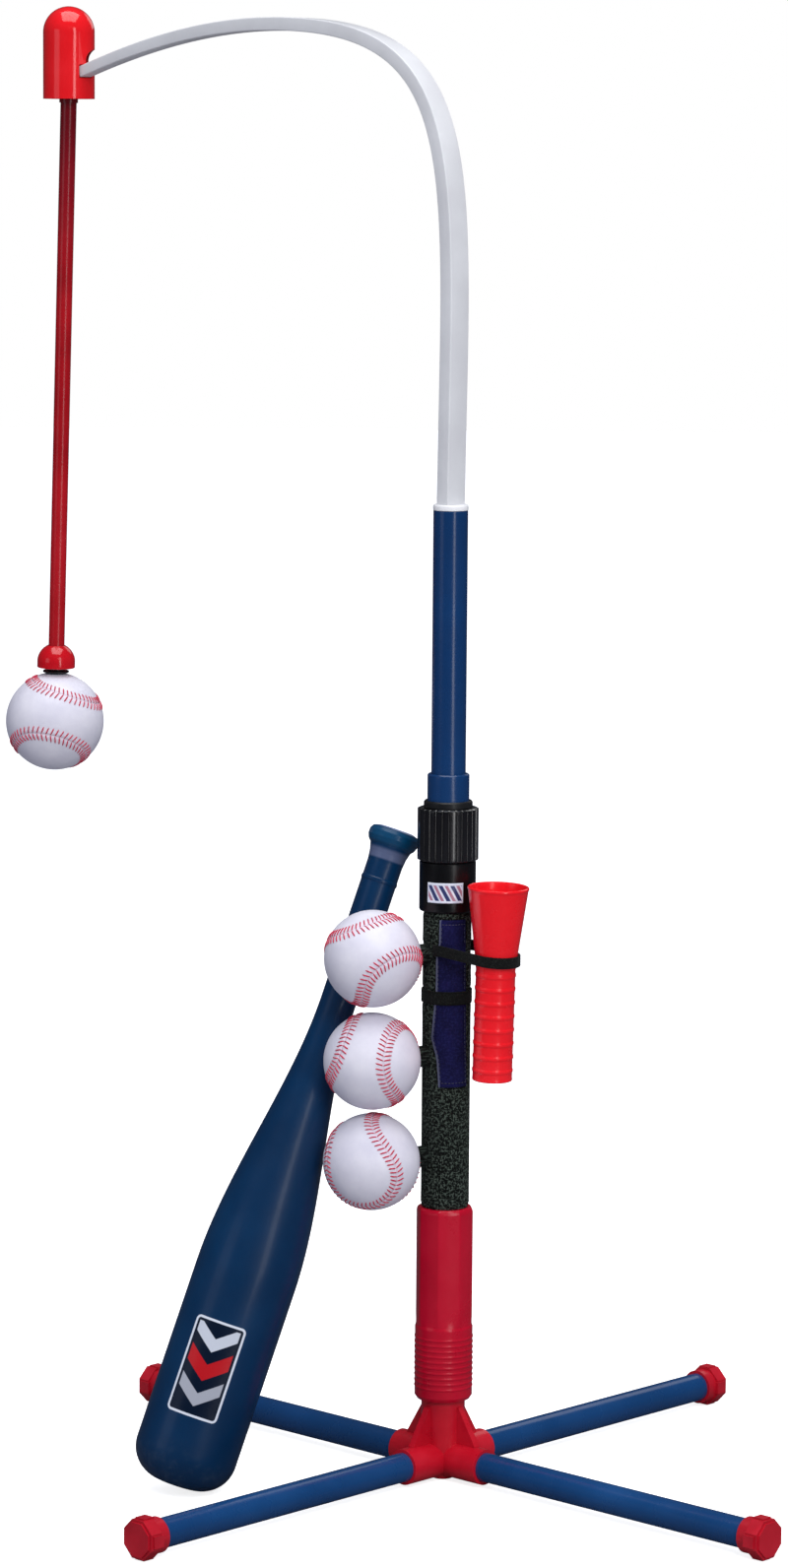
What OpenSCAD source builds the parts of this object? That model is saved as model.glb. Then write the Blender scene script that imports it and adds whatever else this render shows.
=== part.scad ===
// Youth batting tee with a swing arm: four-leg base, telescoping post with a
// fabric cover, flexible arm that carries a ball on a rod, a tee cup, three
// stored balls and a bat. Millimetres, +Z up, origin on the floor under the post.
// The arm reaches towards -X, the legs lie along +X, -X, +Y and -Y.

/* [Base] */
// Height of the leg tube axis above the floor
leg_z = 15.5; // [14.5:0.5:17]
// Outer radius of a leg tube
leg_r = 11; // [10:0.5:12]
// Wall of a leg tube
leg_wall = 1.2; // [0.8:0.2:2]
// Reach of a leg from the post axis to the end of its cap
leg_reach = 321; // [260:1:380]
// Reach of the hub sockets from the post axis
socket_reach = 44; // [36:1:60]
// Outer radius of a hub socket
socket_r = 13.6; // [13:0.1:14.2]
// Radius of the hub neck below the sleeve
neck_r = 16.6; // [16:0.1:18]
// Thickness of a hub web
web_t = 5; // [3:0.5:7]

/* [Base sleeve] */
// Outer radius of the red sleeve
sleeve_r = 21.3; // [20:0.1:24]
// Height of the sleeve's lower edge
sleeve_z0 = 62; // [60:1:66]
// Height of the sleeve's upper edge
sleeve_z1 = 210; // [180:1:215]
// Height of the ribbed grip section above the lower edge
grip_h = 56; // [40:1:70]
// Number of rings in the grip section
grip_rings = 10; // [3:1:12]

/* [Post] */
// Outer radius of the lower post tube
post_r = 15.75; // [15.5:0.05:16]
// Wall of the lower post tube
post_wall = 1.3; // [1.2:0.05:1.3]
// Outer radius over the fabric cover
cover_r = 18; // [17.2:0.1:18]
// Outer radius of the upper tube
upper_r = 12.9; // [12.5:0.1:12.9]
// Wall of the upper tube
upper_wall = 1.2; // [1:0.1:1.2]
// Height of the upper tube's top edge
upper_top = 736; // [700:1:760]

/* [Collar] */
// Outer radius of the fixed collar
collar_r = 21.2; // [20.5:0.1:21.4]
// Height of the fixed collar's lower edge
collar_z0 = 436.2; // [430:0.1:440]
// Height of the joint between the fixed and the turning collar
collar_z1 = 474; // [470:1:478]
// Height of the turning collar's top
collar_z2 = 514; // [510:1:518]
// Number of grip ribs round the turning collar
collar_ribs = 28; // [20:1:32]

/* [Arm] */
// Width of the arm bar at the post
arm_w0 = 19.4; // [17:0.1:19.6]
// Width of the arm bar at its tip
arm_w1 = 12; // [10:0.5:13]
// Thickness of the arm bar at the post
arm_t0 = 11.4; // [9:0.1:11.5]
// Thickness of the arm bar at its tip
arm_t1 = 8.4; // [7:0.1:9]
// Height of the top of the arm's bend
arm_top = 1095; // [1090:1:1098]
// Height at which the arm starts to bend
arm_bend = 832; // [800:1:860]
// Reach of the end of the arm bar
arm_reach = 404; // [402:1:405]

/* [Hood and rod] */
// Reach of the hood's axis from the post
hood_reach = 416; // [415:1:418]
// Outer radius of the hood
hood_r = 20.4; // [20:0.1:21]
// Wall of the hood
hood_wall = 1.8; // [1.6:0.1:2]
// Height of the hood's open lower edge
hood_z0 = 1039; // [1038:0.5:1040]
// Height of the hood's top
hood_z1 = 1111.5; // [1108:0.5:1114]
// Lean of the hanging rod from the vertical, degrees
rod_lean = 2; // [0:0.5:3]
// Outer radius of the hanging rod
rod_r = 6.4; // [5:0.1:6.4]
// Length from the hanging pin to the centre of the ball
rod_len = 506.5; // [480:0.5:520]
// Radius of the hanging ball
tether_ball_r = 39.5; // [36:0.5:40]

/* [Tee cup] */
// Distance of the stored tee cup from the post axis
cup_x = 51.6; // [49:0.1:52]
// Height of the cup's lower edge
cup_z0 = 313; // [308:1:316]
// Height of the cup's rim
cup_z1 = 459.5; // [452:0.5:462]
// Outer radius of the rim
cup_rim_r = 23; // [21:0.5:23]
// Outer radius of the ribbed handle, between its ribs
cup_r = 14.6; // [14.4:0.1:14.8]
// Radius of the socket that slips over the upper tube
cup_bore_r = 13; // [12.95:0.05:13.1]
// Number of ribs on the handle
cup_ribs = 8; // [4:1:9]
// Tilt of the stored cup, its foot towards the post, degrees
cup_tilt = 1.8; // [0:0.1:1.8]

/* [Balls] */
// Radius of a stored ball
ball_r = 36.5; // [36:0.1:36.6]

/* [Bat] */
// Length of the bat
bat_len = 518.8; // [505:0.2:520]
// Radius of the barrel
barrel_r = 38.9; // [36:0.1:39]
// Radius of the handle
handle_r = 13.6; // [12:0.1:13.7]
// Radius of the knob
knob_r = 19.4; // [17:0.1:19.6]

/* [Hidden] */
$fn = 96;
rib_fn = 24;        // facets of the small ribs
pin_fn = 48;        // facets of the pins and their holes
gap = 0.05;         // left between pieces that are fixed together
run_gap = 0.06;     // radial gap of a running fit
tight_gap = 0.02;   // radial gap round a pin held in its hole

// ---- helpers ----
module ring(inner_r, outer_r, h)
    linear_extrude(height = h) difference() {
        circle(r = outer_r);
        circle(r = inner_r);
    }
// ring sector between two azimuths, in degrees
module sector(inner_r, outer_r, az0, az1, h, steps = 24)
    linear_extrude(height = h) intersection() {
        difference() {
            circle(r = outer_r);
            circle(r = inner_r);
        }
        polygon(concat([[0, 0]],
            [for (i = [0:steps]) let(az = az0 + (az1 - az0)*i/steps) 2*outer_r*[cos(az), sin(az)]]));
    }
// pins centred on y = 0 and on x = 0
module y_pin(x, z, r, half)
    translate([x, half, z]) rotate([90, 0, 0]) cylinder(r = r, h = 2*half, $fn = pin_fn);
module x_pin(z, r, half)
    translate([-half, 0, z]) rotate([0, 90, 0]) cylinder(r = r, h = 2*half, $fn = pin_fn);

// ---- base ----
hub_z0 = 8;                     // underside of the neck and the spigot
spigot_z1 = 101;                // top of the hub's spigot
web_z0 = 16;
web_z1 = 57;
leg_x0 = 14;                    // floor of a hub socket
cap_len = 21;
cap_x0 = leg_reach - cap_len;   // inner end of a leg cap
tube_x1 = leg_reach - 6;        // outer end of a leg tube
cap_collar_r = 13.3;
cap_flat = 14.3;                // axis to flat of the cap's octagon
cap_end_flat = 12.4;            // the same for its narrower end
lug_w = 9;

// local z runs outwards along the leg at +X
module along_leg(x) translate([x, 0, leg_z]) rotate([0, 90, 0]) children();

module base_hub() color([0.62, 0.08, 0.12]) difference() {
    union() {
        cylinder(r = 8, h = 12);
        translate([0, 0, hub_z0]) cylinder(r = neck_r, h = sleeve_z0 - hub_z0);
        translate([0, 0, hub_z0]) cylinder(r = post_r, h = spigot_z1 - hub_z0);
        for (az = [0:90:270]) rotate([0, 0, az]) {
            along_leg(0) cylinder(r = socket_r, h = socket_reach);
            translate([0, web_t/2, 0]) rotate([90, 0, 0]) linear_extrude(height = web_t)
                polygon([[0, web_z0], [socket_reach - 8, web_z0], [socket_reach - 9, 30],
                         [neck_r + 1.5, web_z1], [0, web_z1]]);
        }
    }
    for (az = [0:90:270]) rotate([0, 0, az]) along_leg(leg_x0) cylinder(r = leg_r + gap, h = 60);
    translate([0, 0, 34]) cylinder(r = 12.5, h = 80);
}

module leg_tube(az) color([0.10, 0.22, 0.42]) rotate([0, 0, az]) along_leg(leg_x0 + gap)
    difference() {
        cylinder(r = leg_r, h = tube_x1 - leg_x0 - gap);
        translate([0, 0, -1]) cylinder(r = leg_r - leg_wall, h = 500);
    }
module leg_tube_front_left() leg_tube(-90);
module leg_tube_front_right() leg_tube(0);
module leg_tube_back_left() leg_tube(180);
module leg_tube_back_right() leg_tube(90);

module cap_octagon(flat, h)
    translate([0, 0, 9]) rotate([0, 0, 22.5]) cylinder(r = flat / cos(22.5), h = h, $fn = 8);
module leg_cap(az) color([0.70, 0.06, 0.14]) rotate([0, 0, az]) along_leg(cap_x0) difference() {
    union() {
        cylinder(r = cap_collar_r, h = 10);
        cap_octagon(cap_flat, cap_len - 10.5);
        cap_octagon(cap_end_flat, cap_len - 9);
        // four lugs, the lowest one standing on the floor
        for (turn = [0:90:270]) rotate([0, 0, turn])
            translate([0, -lug_w/2, 8]) cube([leg_z, lug_w, 9.5]);
    }
    translate([0, 0, -1]) cylinder(r = leg_r + gap, h = tube_x1 - cap_x0 + 1.1);
}
module leg_cap_front_left() leg_cap(-90);
module leg_cap_front_right() leg_cap(0);
module leg_cap_back_left() leg_cap(180);
module leg_cap_back_right() leg_cap(90);

grip_r = sleeve_r + 0.6;
grip_first = 10;                // first ring above the sleeve's lower edge
grip_pitch = (grip_h - 18) / (grip_rings - 1);
// columns: radius, height
sleeve_outline = [
    [0, sleeve_z0 + gap], [sleeve_r - 1.4, sleeve_z0 + gap], [grip_r, sleeve_z0 + 3],
    [grip_r, sleeve_z0 + grip_h], [sleeve_r, sleeve_z0 + grip_h + 1.5],
    [sleeve_r, sleeve_z1 - 2], [sleeve_r - 1, sleeve_z1], [0, sleeve_z1]];
module base_sleeve() color([0.68, 0.02, 0.16]) difference() {
    rotate_extrude() {
        polygon(sleeve_outline);
        for (i = [0:grip_rings-1])
            translate([sleeve_r - 0.2, sleeve_z0 + grip_first + i*grip_pitch])
                circle(r = 1.1, $fn = rib_fn);
    }
    translate([0, 0, sleeve_z0 - 1]) cylinder(r = post_r + gap, h = 200);
}

// ---- post and its cover ----
post_z0 = 104;
post_z1 = 505;
post_bore_r = post_r - post_wall;
module post_tube() color([0.10, 0.22, 0.42])
    translate([0, 0, post_z0]) ring(post_bore_r, post_r, post_z1 - post_z0);
module post_cover() color([0.10, 0.12, 0.12])
    translate([0, 0, sleeve_z1 + 0.1]) ring(post_r + gap, cover_r, collar_z0 - sleeve_z1 - 0.2);

pocket_az = -35;                // direction from which the pocket's outline is cut
pocket_z0 = 304;
pocket_z1 = 431;
// columns: azimuth in degrees, height
pocket_outline = [
    [-65, pocket_z1], [-66, 413], [-73, 406], [-73.5, 377], [-85, 341],
    [-72, 328], [-65, pocket_z0], [8.5, pocket_z0], [0.5, pocket_z1]];
module cover_pocket() color([0.10, 0.10, 0.30]) intersection() {
    translate([0, 0, pocket_z0]) ring(cover_r + gap, cover_r + 1.05, pocket_z1 - pocket_z0);
    rotate([0, 0, pocket_az]) rotate([90, 0, 90]) linear_extrude(height = 30)
        polygon([for (p = pocket_outline) [(cover_r + 1) * sin(p[0] - pocket_az), p[1]]]);
}

// Upper half of an open loop, from its cut end at x = cut_x to its tip at +X: an arc
// round a point at the given distance, then a straight run tangent to the post circle
function loop_half(post_circle, end_r, distance, cut_x, steps = 14) =
    let(tangent = acos((post_circle - end_r) / distance))
    concat([[cut_x, post_circle/sin(tangent) - cut_x/tan(tangent)]],
           [for (i = [0:steps]) let(a = tangent*(1 - i/steps))
               [distance + end_r*cos(a), end_r*sin(a)]]);
function mirror_y(p) = [p[0], -p[1]];
module open_loop(post_circle, end_r, distance, cut_x, thickness) {
    outer = loop_half(post_circle + thickness, end_r + thickness, distance, cut_x);
    inner = loop_half(post_circle, end_r, distance, cut_x);
    last = len(outer) - 1;
    polygon(concat(outer,
                   [for (i = [last-1:-1:0]) mirror_y(outer[i])],
                   [for (i = [0:last-1]) mirror_y(inner[i])],
                   [for (i = [last:-1:0]) inner[i]]));
}
module cup_strap() color([0.08, 0.09, 0.08]) translate([0, 0, 400]) linear_extrude(height = 11)
    open_loop(post_circle = 19.4, end_r = 16.8, distance = cup_x - 1.7, cut_x = 6, thickness = 1.6);
module lower_strap() color([0.08, 0.09, 0.09]) translate([0, 0, 366.7]) ring(19.2, 20.5, 10.3);

// ---- stored balls and their pads ----
ball_az = -107.6;               // azimuth of the balls, degrees
ball_distance = 63.4;           // ball centre from the post axis
ball_heights = [403.7, 326.3, 249.9];
pad_r = 8;
function ball_centre(i) =
    [ball_distance*cos(ball_az), ball_distance*sin(ball_az), ball_heights[i]];

// stub between the cover and a ball, hollowed to fit both
module ball_pad(i) color([0.07, 0.07, 0.08]) difference() {
    translate([0, 0, ball_heights[i]]) rotate([0, 0, ball_az]) translate([12, 0, 0])
        rotate([0, 90, 0]) cylinder(r = pad_r, h = 20);
    cylinder(r = cover_r + gap, h = 900);
    translate(ball_centre(i)) sphere(r = ball_r + gap);
}
module ball_pad_1() ball_pad(0);
module ball_pad_2() ball_pad(1);
module ball_pad_3() ball_pad(2);

module stored_ball(i) color([0.92, 0.92, 0.95]) translate(ball_centre(i)) sphere(r = ball_r);
module ball_1() stored_ball(0);
module ball_2() stored_ball(1);
module ball_3() stored_ball(2);

// ---- collar ----
nose_r = 18.8;                  // part of the fixed collar inside the turning one
nose_z1 = collar_z1 + 26;
twist_r = 21.7;
collet_z0 = 470;
collet_z1 = 539.4;

// columns of the outlines: radius, height
collar_outline = [
    [post_r + gap, collar_z0 + gap], [collar_r - 0.8, collar_z0 + gap],
    [collar_r, collar_z0 + 0.9], [collar_r, collar_z1 - 0.8], [collar_r - 0.8, collar_z1],
    [nose_r, collar_z1], [nose_r, nose_z1 - 1], [nose_r - 1, nose_z1], [post_r + gap, nose_z1]];
module collar_body() color([0.06, 0.06, 0.07]) rotate_extrude() polygon(collar_outline);
module collar_label() color([0.9, 0.9, 0.93]) translate([0, 0, 444.1])
    sector(collar_r + gap, collar_r + 0.65, az0 = -90.6, az1 = -14, h = 15.2);
module twist_collar() color([0.05, 0.05, 0.06]) difference() {
    translate([0, 0, collar_z1 + 0.2]) linear_extrude(height = collar_z2 - collar_z1 - 0.2) union() {
        circle(r = twist_r);
        for (i = [0:collar_ribs-1]) rotate([0, 0, 360*i/collar_ribs])
            translate([twist_r - 0.1, 0]) circle(r = 1.3, $fn = rib_fn);
    }
    translate([0, 0, collar_z1 - 1]) cylinder(r = nose_r + run_gap, h = 28.5);
    cylinder(r = post_r + run_gap, h = 600);
}
// heights from the ring's underside
collar_ring_outline = [
    [post_r + run_gap, 0], [18.3, 0], [18.3, 4.3], [17.5, 5.2], [post_r + run_gap, 5.2]];
module collar_ring() color([0.07, 0.07, 0.08])
    translate([0, 0, collar_z2 + 0.1]) rotate_extrude() polygon(collar_ring_outline);
// sleeve between the two tubes, stepped out over the end of the post tube
collet_outline = [
    [upper_r + run_gap, collet_z0], [post_bore_r - gap, collet_z0],
    [post_bore_r - gap, post_z1 + gap], [post_r - gap, post_z1 + gap],
    [post_r - gap, collet_z1 - 1], [post_r - 1, collet_z1], [upper_r + run_gap, collet_z1]];
module clamp_collet() color([0.10, 0.25, 0.50]) rotate_extrude() polygon(collet_outline);

// ---- upper tube and the arm's seats ----
upper_z0 = 300;
upper_bore_r = upper_r - upper_wall;
guide_h = 12;                   // part of the guide below the upper tube
foot_z0 = 640;                  // underside of the arm's foot
foot_floor = 10;
arm_z0 = foot_z0 + foot_floor;  // lower end of the arm bar
bushing_z0 = 700;

module upper_tube() color([0.10, 0.25, 0.50])
    translate([0, 0, upper_z0]) ring(upper_bore_r, upper_r, upper_top - upper_z0);
module tube_guide() color([0.15, 0.15, 0.16]) {
    translate([0, 0, upper_z0 - guide_h]) cylinder(r = post_bore_r - run_gap, h = guide_h - gap);
    translate([0, 0, upper_z0 - 1]) cylinder(r = upper_bore_r - gap, h = 22);
}
// disc with a rectangular hole for the arm bar
module bar_seat(r, h) linear_extrude(height = h) difference() {
    circle(r = r);
    square([arm_t0 + 0.1, arm_w0 + 0.1], center = true);
}
module arm_foot() color([0.85, 0.85, 0.86]) {
    translate([0, 0, foot_z0]) cylinder(r = upper_bore_r - run_gap, h = foot_floor - gap);
    translate([0, 0, foot_z0]) bar_seat(upper_bore_r - run_gap, 30);
}
module arm_bushing() color([0.93, 0.93, 0.94]) {
    translate([0, 0, bushing_z0]) bar_seat(upper_bore_r - run_gap, upper_top - bushing_z0 + 1);
    translate([0, 0, upper_top + gap]) bar_seat(upper_r + 0.25, 4.4);
}

// ---- arm ----
arm_pin_x = -arm_reach + 3.6;
arm_pin_z = arm_top - 35.5;
arm_pin_half = 10.8;
arm_pin_r = 1.5;
// Bezier control points of the two curved parts; columns: reach, height
arm_rise = [[-1.5, arm_bend], [-5, 1025], [4, arm_top], [190, arm_top]];
arm_fall = [[190, arm_top], [262, arm_top], [335, arm_top - 15.3], [arm_reach, arm_top - 36.9]];
rise_steps = 14;
fall_steps = 12;
function bezier(p, t) =
    pow(1-t, 3)*p[0] + 3*pow(1-t, 2)*t*p[1] + 3*(1-t)*t*t*p[2] + t*t*t*p[3];
// centre line of the bar; columns: reach, height
arm_line = concat([[0, arm_z0], [0, 745]],
    [for (i = [0:rise_steps]) bezier(arm_rise, i/rise_steps)],
    [for (i = [1:fall_steps]) bezier(arm_fall, i/fall_steps)]);
arm_last = len(arm_line) - 1;
function arm_direction(i) =
    let(d = arm_line[min(i+1, arm_last)] - arm_line[max(i-1, 0)]) d / norm(d);
function arm_half_t(i) = (arm_t0 + (arm_t1 - arm_t0) * arm_line[i][0] / arm_reach) / 2;
// x and z of the bar's edge: side 1 is the outside of the bend, -1 the inside
function arm_edge(i, side) =
    let(p = arm_line[i], d = arm_direction(i), offset = side*arm_half_t(i))
    [-p[0] + offset*d[1], p[1] + offset*d[0]];

module arm_bar() color([0.74, 0.75, 0.78]) difference() {
    intersection() {
        // side view, extruded across the bar
        translate([0, 15, 0]) rotate([90, 0, 0]) linear_extrude(height = 30)
            polygon(concat([for (i = [0:arm_last]) arm_edge(i, 1)],
                           [for (i = [arm_last:-1:0]) arm_edge(i, -1)]));
        // plan view, which narrows the bar towards the tip
        linear_extrude(height = 1200)
            polygon([[8, arm_w0/2], [0, arm_w0/2], [-arm_reach - 8, arm_w1/2],
                     [-arm_reach - 8, -arm_w1/2], [0, -arm_w0/2], [8, -arm_w0/2]]);
    }
    y_pin(arm_pin_x, arm_pin_z, arm_pin_r + gap, 20);
}
module arm_pin() color([0.75, 0.76, 0.78]) y_pin(arm_pin_x, arm_pin_z, arm_pin_r, arm_pin_half);

// ---- hood ----
pivot_z = 1048;                 // height of the hood's cross pin
pivot_r = 1.5;
pivot_half = 19.9;
dome_z = hood_z1 - hood_r;      // centre of the domed top
// half outline of a domed cylinder; the dome's arc is kept above dome_cut
module dome_outline(r, z0, dome_cut) {
    translate([0, z0]) square([r, dome_z - z0]);
    intersection() {
        translate([0, dome_z]) circle(r = r);
        translate([0, dome_cut]) square([hood_r + 1, hood_r + 1]);
    }
}
module hood() color([0.82, 0.10, 0.14]) translate([-hood_reach, 0, 0]) difference() {
    rotate_extrude() difference() {
        dome_outline(hood_r, hood_z0, dome_z);
        dome_outline(hood_r - hood_wall, hood_z0 - 1, dome_z - 0.1);
    }
    // slot for the arm, and the bite in the side above it
    translate([0, -arm_w1/2 - 0.7, 1055.2]) cube([40, arm_w1 + 1.4, 10.6]);
    translate([0, 0, 1069]) rotate([0, 0, 43]) translate([24, 0, 0])
        rotate([90, 0, 0]) cylinder(r = 9.5, h = 60, center = true);
    // blind holes for the arm pin and the cross pin
    y_pin(hood_reach + arm_pin_x, arm_pin_z, arm_pin_r + gap, arm_pin_half + 0.1);
    y_pin(0, pivot_z, pivot_r + tight_gap, pivot_half + gap);
}
module hood_pin() color([0.75, 0.76, 0.78]) y_pin(-hood_reach, pivot_z, pivot_r, pivot_half);

// ---- hanging rod and ball, in the frame of the cross pin ----
rod_pin_r = 1.4;
rod_pin_z = 4;                  // rod pin above the cross pin
rod_bore_r = 4.6;
stem_r = 4;                     // stem that the ball turns on
ball_gap = 4.1;                 // stopper to ball
stopper_z0 = -(rod_len - tether_ball_r - ball_gap);   // underside of the stopper
stopper_r = 15.2;
stopper_rim_h = 8;
rod_z0 = stopper_z0 + 14;       // lower end of the rod
rod_z1 = -11;
lug_x = 4.4;                    // inner face of the rod's lugs
lug_half = 4;

module hang() translate([-hood_reach, 0, pivot_z]) rotate([0, rod_lean, 0]) children();

module swivel_block() color([0.2, 0.2, 0.22]) hang() difference() {
    translate([-4.2, -3.6, -4.5]) cube([8.4, 7.2, 12]);
    y_pin(0, 0, pivot_r + run_gap, 20);
    x_pin(rod_pin_z, rod_pin_r + run_gap, 20);
}
module rod_pin() color([0.75, 0.76, 0.78]) hang() x_pin(rod_pin_z, rod_pin_r, 7.1);
module tether_rod() color([0.60, 0.03, 0.08]) hang() difference() {
    union() {
        translate([0, 0, rod_z0]) cylinder(r = rod_r, h = rod_z1 - rod_z0);
        translate([0, 0, -12]) cylinder(r = 7.4, h = 4.6);
        // two lugs with round tops, either side of the swivel block
        for (turn = [0, 180]) rotate([0, 0, turn]) intersection() {
            translate([lug_x, -lug_half, -8.5]) cube([2.9, 2*lug_half, 16.5]);
            union() {
                translate([0, 0, rod_pin_z]) rotate([0, 90, 0]) cylinder(r = lug_half, h = 10);
                translate([0, -lug_half, -9]) cube([10, 2*lug_half, rod_pin_z + 9]);
            }
        }
    }
    translate([0, 0, stopper_z0]) cylinder(r = rod_bore_r, h = -stopper_z0 - 20);
    x_pin(rod_pin_z, rod_pin_r + tight_gap, 20);
}
// cap below the rod, plug inside it and a stem that the ball turns on
module rod_stopper() color([0.72, 0.04, 0.10]) hang() rotate_extrude() difference() {
    union() {
        translate([0, stopper_z0]) square([stem_r, 40]);
        translate([0, stopper_z0]) square([stopper_r, stopper_rim_h]);
        intersection() {
            translate([0, stopper_z0 + 4.6]) circle(r = 15.4);
            translate([0, stopper_z0 + stopper_rim_h - 0.1]) square([stopper_r, 12.5]);
        }
        translate([0, -rod_len]) square([stem_r, rod_len + stopper_z0 + 1]);
        translate([0, -rod_len - 12]) square([stem_r, 12.5]);
    }
    // seat for the rod's end
    translate([rod_bore_r - gap, rod_z0 - gap]) square([20, 40]);
}
module ball_washer() color([0.12, 0.12, 0.13]) hang() translate([0, 0, stopper_z0 - 4]) {
    ring(stem_r + run_gap, 10.5, 1.7);
    ring(stem_r + run_gap, 6.8, 3.9);
}
module tether_ball() color([0.90, 0.90, 0.94]) hang() difference() {
    translate([0, 0, -rod_len]) sphere(r = tether_ball_r);
    translate([0, 0, -rod_len - 13]) cylinder(r = stem_r + run_gap, h = 60);
    translate([0, 0, stopper_z0 - ball_gap]) cylinder(r = 30, h = 10);
}

// ---- tee cup ----
bowl_z0 = 409;                  // floor of the bowl at the axis
cup_socket_depth = 90;
cup_rib_first = 8;              // first rib above the cup's lower edge
cup_rib_pitch = 10.3;
// columns: radius, height
cup_outline = [
    [0, cup_z0], [cup_r + 0.4, cup_z0], [cup_r + 0.4, cup_z0 + 1], [cup_r, cup_z0 + 2],
    [cup_r, 397], [16, 404], [16.2, bowl_z0],
    [cup_rim_r - 0.5, cup_z1 - 2.5], [cup_rim_r, cup_z1 - 1.5], [cup_rim_r - 0.6, cup_z1],
    [0, cup_z1]];
bowl_outline = [
    [0, bowl_z0], [14, 412], [cup_rim_r - 2.4, cup_z1 - 2], [cup_rim_r - 1.8, cup_z1 + 1],
    [0, cup_z1 + 1]];

// tilts the cup about the centre of its rim, its foot towards the post
module cup_place() translate([cup_x, 0, cup_z1]) rotate([0, cup_tilt, 0])
    translate([0, 0, -cup_z1]) children();
module tee_cup() color([0.80, 0.08, 0.13]) cup_place() difference() {
    rotate_extrude() {
        polygon(cup_outline);
        for (i = [0:cup_ribs-1])
            translate([cup_r - 0.55, cup_z0 + cup_rib_first + i*cup_rib_pitch])
                circle(r = 1.5, $fn = rib_fn);
    }
    // socket for the upper tube
    translate([0, 0, cup_z0 - 1]) cylinder(r = cup_bore_r, h = cup_socket_depth + 1);
    rotate_extrude() polygon(bowl_outline);
    // hole from the bowl into the socket
    translate([0, 0, 400]) cylinder(r = 8, h = 20);
}

// ---- bat ----
bat_tilt = 20.82;               // from the vertical
bat_az = 71.78;                 // heading of the tilted frame
bat_top = [-52.86, -0.28, 491.6];   // centre of the knob's end face
end_round = 25.9;               // rounding of the barrel's end
flare_start = 136.8;            // where the handle starts to widen
flare_len = 217.9;
flare_steps = 16;
bat_wall = 3;
bat_end_wall = 3.2;
inner_handle_r = 10.6;
knob_bore_r = 4.5;

// origin at the knob's end face, the bat lying along -z
module bat_place() translate(bat_top) rotate([0, 0, bat_az]) rotate([0, bat_tilt, 0]) children();
function ease(t) = t <= 0 ? 0 : t >= 1 ? 1 : 3*t*t - 2*t*t*t;
// stations of the widening side from index first on, set in by inset
function flare(first, inset) = [for (i = [first:flare_steps])
    [handle_r + (barrel_r - handle_r)*ease(i/flare_steps) - inset,
     -flare_start - flare_len*i/flare_steps]];
// columns: radius, z
bat_outline = concat(
    [[0, 0], [14, 0], [knob_r - 1.6, -2], [knob_r, -5], [knob_r, -9], [knob_r - 1.6, -12.5],
     [15.4, -18], [handle_r, -26], [handle_r, -39], [handle_r + 0.5, -40],
     [handle_r + 0.5, -41.5], [handle_r, -42.5]],
    flare(0, 0),
    [for (i = [0:6]) let(a = 90*i/6)
        [barrel_r - end_round + end_round*cos(a), -bat_len + end_round - end_round*sin(a)]],
    [[0, -bat_len]]);
bat_hollow = concat(
    [[0, -10], [inner_handle_r, -14], [inner_handle_r, -flare_start]],
    flare(1, bat_wall),
    [[barrel_r - bat_wall, -bat_len + end_round],
     [barrel_r - end_round, -bat_len + bat_end_wall], [0, -bat_len + bat_end_wall]]);

module bat_shell() color([0.04, 0.15, 0.29]) bat_place() difference() {
    rotate_extrude() polygon(bat_outline);
    // hollow inside, open at the knob
    translate([0, 0, -12]) cylinder(r = knob_bore_r, h = 20);
    rotate_extrude() polygon(bat_hollow);
}
module bat_plug() color([0.02, 0.03, 0.06]) bat_place()
    translate([0, 0, -9]) cylinder(r = knob_bore_r - gap, h = 8.4);

base_hub();
leg_tube_front_left();
leg_tube_front_right();
leg_tube_back_left();
leg_tube_back_right();
leg_cap_front_left();
leg_cap_front_right();
leg_cap_back_left();
leg_cap_back_right();
base_sleeve();
post_tube();
post_cover();
cover_pocket();
cup_strap();
lower_strap();
ball_pad_1();
ball_pad_2();
ball_pad_3();
collar_body();
collar_label();
clamp_collet();
twist_collar();
collar_ring();
upper_tube();
tube_guide();
arm_foot();
arm_bushing();
arm_bar();
hood();
arm_pin();
hood_pin();
swivel_block();
rod_pin();
tether_rod();
rod_stopper();
ball_washer();
tether_ball();
tee_cup();
ball_1();
ball_2();
ball_3();
bat_shell();
bat_plug();
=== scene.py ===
"""Ball-game set: a post on four legs, with a bat, a tee cup, three stored balls and a hung ball.

The post stands on the z axis with the floor at z = 0. The front is -Y. The arm bends over
towards -X and the tether ball hangs at its end. The tee cup is strapped to the post's +X side,
the bat stands on its -X side, and the three stored balls are stacked in front of it.
Sizes are in mm unless a comment says otherwise; MM takes them to the scene's metres.
Azimuths run round the z axis from +X. "Left" on the post's cover is seen from outside.
"""

import math
import random
from math import acos, atan2, cos, pi, radians, sin, sqrt, tan

import bpy
import bmesh
import numpy as np
from mathutils import Euler, Matrix, Vector


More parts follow.
